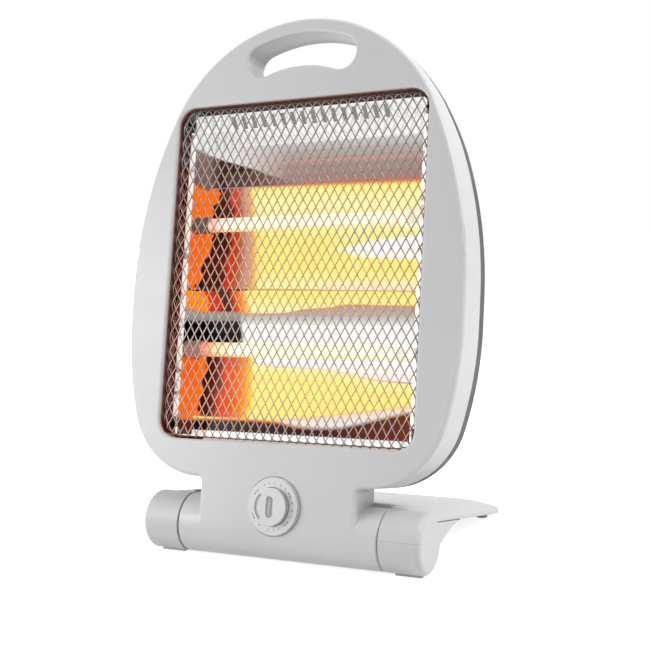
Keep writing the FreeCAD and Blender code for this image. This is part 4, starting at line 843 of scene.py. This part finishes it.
def net_plating():
    """Plated wire with painted light and shade by place: grey over white, warm over the glow."""
    material = bright_metal("wire_plating", OVER_WHITE, 0.3)
    tree = material.node_tree
    shader = tree.nodes["Principled BSDF"]
    across, depth, height = upright_axes(tree)
    low_glow = zone(tree, height, *LOW_GLOW, 4.0)
    lit = calculate(tree, "MAXIMUM", low_glow, zone(tree, height, *HIGH_GLOW, 4.0))
    white_wedge = zone(tree, height, *WHITE_WEDGE, 3.0)
    unlit = product(tree, lit, white_wedge, spread(tree, across, *WHITE_WEDGE_FADE))
    lit = calculate(tree, "SUBTRACT", lit, unlit)
    color = blend(tree, lit, OVER_WHITE, OVER_YELLOW)
    cool_end = product(tree, spread(tree, across, *COOL_FADE), spread(tree, height, *COOL_TOP_FADE))
    shaded = blend(tree, zone(tree, height, *COOL_SHADOW, 3.0), OVER_RED, OVER_BLACK)
    shaded = blend(tree, spread(tree, across, LIP_START, LIP_FULL), shaded, OVER_LIP)
    color = blend(tree, cool_end, color, shaded)
    floor = product(tree, spread(tree, height, *FLOOR_TOP_FADE), spread(tree, height, *FLOOR_FOOT_FADE))
    color = blend(tree, floor, color, OVER_FLOOR)
    wedge = product(tree, zone(tree, height, *DARK_WEDGE, 3.0), spread(tree, across, *DARK_WEDGE_FADE),
                    spread(tree, across, LIP_FULL, LIP_START))
    color = blend(tree, wedge, color, OVER_WEDGE)
    hem = product(tree, spread(tree, depth, *HEM_DEPTH_FADE), spread(tree, height, *HEM_FADE))
    tree.links.new(blend(tree, hem, color, HEM_SHADE), shader.inputs["Base Color"])
    return material


def make_grille():
    curve = bpy.data.curves.new("grille_wire", "CURVE")
    curve.dimensions = "3D"
    curve.bevel_depth = WIRE_RADIUS * MM
    curve.bevel_resolution = 1
    slope = CELL_HEIGHT / CELL_WIDTH
    run = (NET_HIGH - NET_LOW + 2 * NET_MARGIN) / slope
    count = int((2 * NET_HALF_WIDTH + 2 * NET_MARGIN + run) / CELL_WIDTH)
    for index in range(count):
        start = -NET_HALF_WIDTH - NET_MARGIN - run + index * CELL_WIDTH
        net_wire(curve, start, slope, 0.0)
        net_wire(curve, -start, -slope, CROSSING_LIFT)
    grille = add_piece("grille_net", mesh_of_curve(curve), net_plating(), "heater")
    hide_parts("grille")


# Printed marks on the dial's ring and beside it: dots, ticks and dashes

DIAL_FRONT, NECK_FRONT = -22.5, -20.0
MARK_CIRCLE, NECK_CIRCLE = 15.1, 19.4
MARK_LIFT = 0.05
DOT_ANGLES = (-25, 22, 78, 96, 158, 215)
TICK_ANGLES = (-11, 4, 38, 112, 172, 187)
DASH_ANGLES = (-60, -50, 52, 61, 128, 137, 238, 247)
NECK_ANGLES = (6.0, 13.0)
DOT_RADIUS, DOT_SIDES = 0.42, 12
TICK_HALVES, DASH_HALVES, NECK_HALVES = (0.16, 0.7), (0.9, 0.26), (0.9, 0.35)


def print_mark(shape, corners, front):
    """A thin raised print whose corners are given across and up, in millimetres."""
    face = shape.faces.new([shape.verts.new(leaned(x, front, z)) for x, z in corners])
    grown = bmesh.ops.extrude_face_region(shape, geom=[face])["geom"]
    lift = leaned(0, -MARK_LIFT, 0) - leaned(0, 0, 0)
    raised = [item for item in grown if isinstance(item, bmesh.types.BMVert)]
    bmesh.ops.translate(shape, vec=lift, verts=raised)


def around(angle, radius, along, out):
    """A place near the dial's circle, moved along it and outwards."""
    turn = math.radians(angle)
    x = (radius + out) * math.sin(turn) + along * math.cos(turn)
    z = (radius + out) * math.cos(turn) - along * math.sin(turn)
    return x, DIAL_HEIGHT + z


def block_corners(angle, radius, half_length, half_height):
    return [around(angle, radius, along * half_length, out * half_height)
            for along, out in ((-1, -1), (1, -1), (1, 1), (-1, 1))]


def dot_corners(angle, radius):
    x, z = around(angle, radius, 0, 0)
    turns = [math.tau * step / DOT_SIDES for step in range(DOT_SIDES)]
    return [(x + DOT_RADIUS * math.sin(turn), z + DOT_RADIUS * math.cos(turn)) for turn in turns]


def make_marks():
    shape = bmesh.new()
    for angle in DOT_ANGLES:
        print_mark(shape, dot_corners(angle, MARK_CIRCLE), DIAL_FRONT)
    for angle in TICK_ANGLES:
        print_mark(shape, block_corners(angle, MARK_CIRCLE, *TICK_HALVES), DIAL_FRONT)
    for angle in DASH_ANGLES:
        print_mark(shape, block_corners(angle, MARK_CIRCLE, *DASH_HALVES), DIAL_FRONT)
    for angle in NECK_ANGLES:
        print_mark(shape, block_corners(angle, NECK_CIRCLE, *NECK_HALVES), NECK_FRONT)
    bmesh.ops.recalc_face_normals(shape, faces=shape.faces)
    mesh = bpy.data.meshes.new("dial_marks")
    shape.to_mesh(mesh)
    shape.free()
    add_piece("dial_marks", mesh, mark_paint, "heater")


make_thin_crown("front_housing", "front_shell")
make_thin_crown("rear_housing", "rear_shell")
make_thin_crown("housing_screws", "rear_screws")
make_thin_crown("left_plate", "left_end_plate")
make_thin_crown("right_plate", "right_end_plate")
make_grille()
make_marks()


# Stage, light and camera

FLOOR_HALF, FLOOR_GREY, FLOOR_LIFT = 6.0, (0.7, 0.7, 0.7), 0.8
STUDIO_LIGHT = 0.46
EYE = (346.2, -658.8, 66.9)
AHEAD, ABOVE = (-0.4415, 0.8921, 0.0966), (-0.0065, -0.1108, 0.9938)
SENSOR, FOCAL_PIXELS, FRAME_PIXELS = 36.0, 1096.8, 650


def plainly_seen(tree):
    """One for rays that show the background itself: straight, mirrored or seen through."""
    path = tree.nodes.new("ShaderNodeLightPath")
    mirrored = calculate(tree, "MAXIMUM", path.outputs["Is Camera Ray"], path.outputs["Is Glossy Ray"])
    return calculate(tree, "MAXIMUM", mirrored, path.outputs["Is Transmission Ray"])


def make_floor():
    mesh = bpy.data.meshes.new("floor")
    shape = bmesh.new()
    bmesh.ops.create_grid(shape, x_segments=1, y_segments=1, size=FLOOR_HALF)
    shape.to_mesh(mesh)
    shape.free()
    floor = bpy.data.objects.new("floor", mesh)
    scene.collection.objects.link(floor)
    material = bpy.data.materials.new("floor_white")
    material.use_nodes = True
    tree = material.node_tree
    tree.nodes.clear()
    output = tree.nodes.new("ShaderNodeOutputMaterial")
    matt = tree.nodes.new("ShaderNodeBsdfDiffuse")
    matt.inputs["Color"].default_value = (*FLOOR_GREY, 1)
    lift = tree.nodes.new("ShaderNodeEmission")
    both = tree.nodes.new("ShaderNodeAddShader")
    tree.links.new(calculate(tree, "MULTIPLY", plainly_seen(tree), FLOOR_LIFT), lift.inputs["Strength"])
    tree.links.new(matt.outputs["BSDF"], both.inputs[0])
    tree.links.new(lift.outputs["Emission"], both.inputs[1])
    tree.links.new(both.outputs["Shader"], output.inputs["Surface"])
    mesh.materials.append(material)


def make_studio():
    world = bpy.data.worlds.new("studio")
    scene.world = world
    world.use_nodes = True
    tree = world.node_tree
    background = tree.nodes["Background"]
    strength = tree.nodes.new("ShaderNodeMapRange")
    strength.inputs["To Min"].default_value = STUDIO_LIGHT
    strength.inputs["To Max"].default_value = 1.0
    tree.links.new(plainly_seen(tree), strength.inputs["Value"])
    tree.links.new(strength.outputs["Result"], background.inputs["Strength"])
    background.inputs["Color"].default_value = (*FULL, 1)


def soft_lamp(name, place, aim, size, power):
    lamp = bpy.data.lights.new(name, "AREA")
    lamp.size = size
    lamp.energy = power
    holder = bpy.data.objects.new(name, lamp)
    scene.collection.objects.link(holder)
    holder.location = place
    holder.rotation_euler = (Vector(aim) - Vector(place)).to_track_quat("-Z", "Y").to_euler()


def make_camera():
    """The camera was found upright from the heater's own lines, and leans with it."""
    turn = lean_back.to_3x3()
    ahead = (turn @ Vector(AHEAD)).normalized()
    right = ahead.cross(turn @ Vector(ABOVE)).normalized()
    above = right.cross(ahead)
    camera = bpy.data.cameras.new("camera")
    camera.sensor_width = SENSOR
    camera.lens = SENSOR * FOCAL_PIXELS / FRAME_PIXELS
    holder = bpy.data.objects.new("camera", camera)
    scene.collection.objects.link(holder)
    view = Matrix((right, above, -ahead)).transposed().to_4x4()
    holder.matrix_world = Matrix.Translation(leaned(*EYE)) @ view
    scene.camera = holder


make_floor()
make_studio()
soft_lamp("key_right", place=(1.2, 0.15, 1.1), aim=(0, 0, 0.2), size=0.8, power=12)
soft_lamp("near_left", place=(-0.6, -0.55, 0.3), aim=(0, -0.05, 0.16), size=0.4, power=2.5)
soft_lamp("top", place=(0.3, 0.3, 1.7), aim=(0, 0, 0.2), size=1.0, power=6.5)
make_camera()
scene.view_settings.view_transform = "Standard"
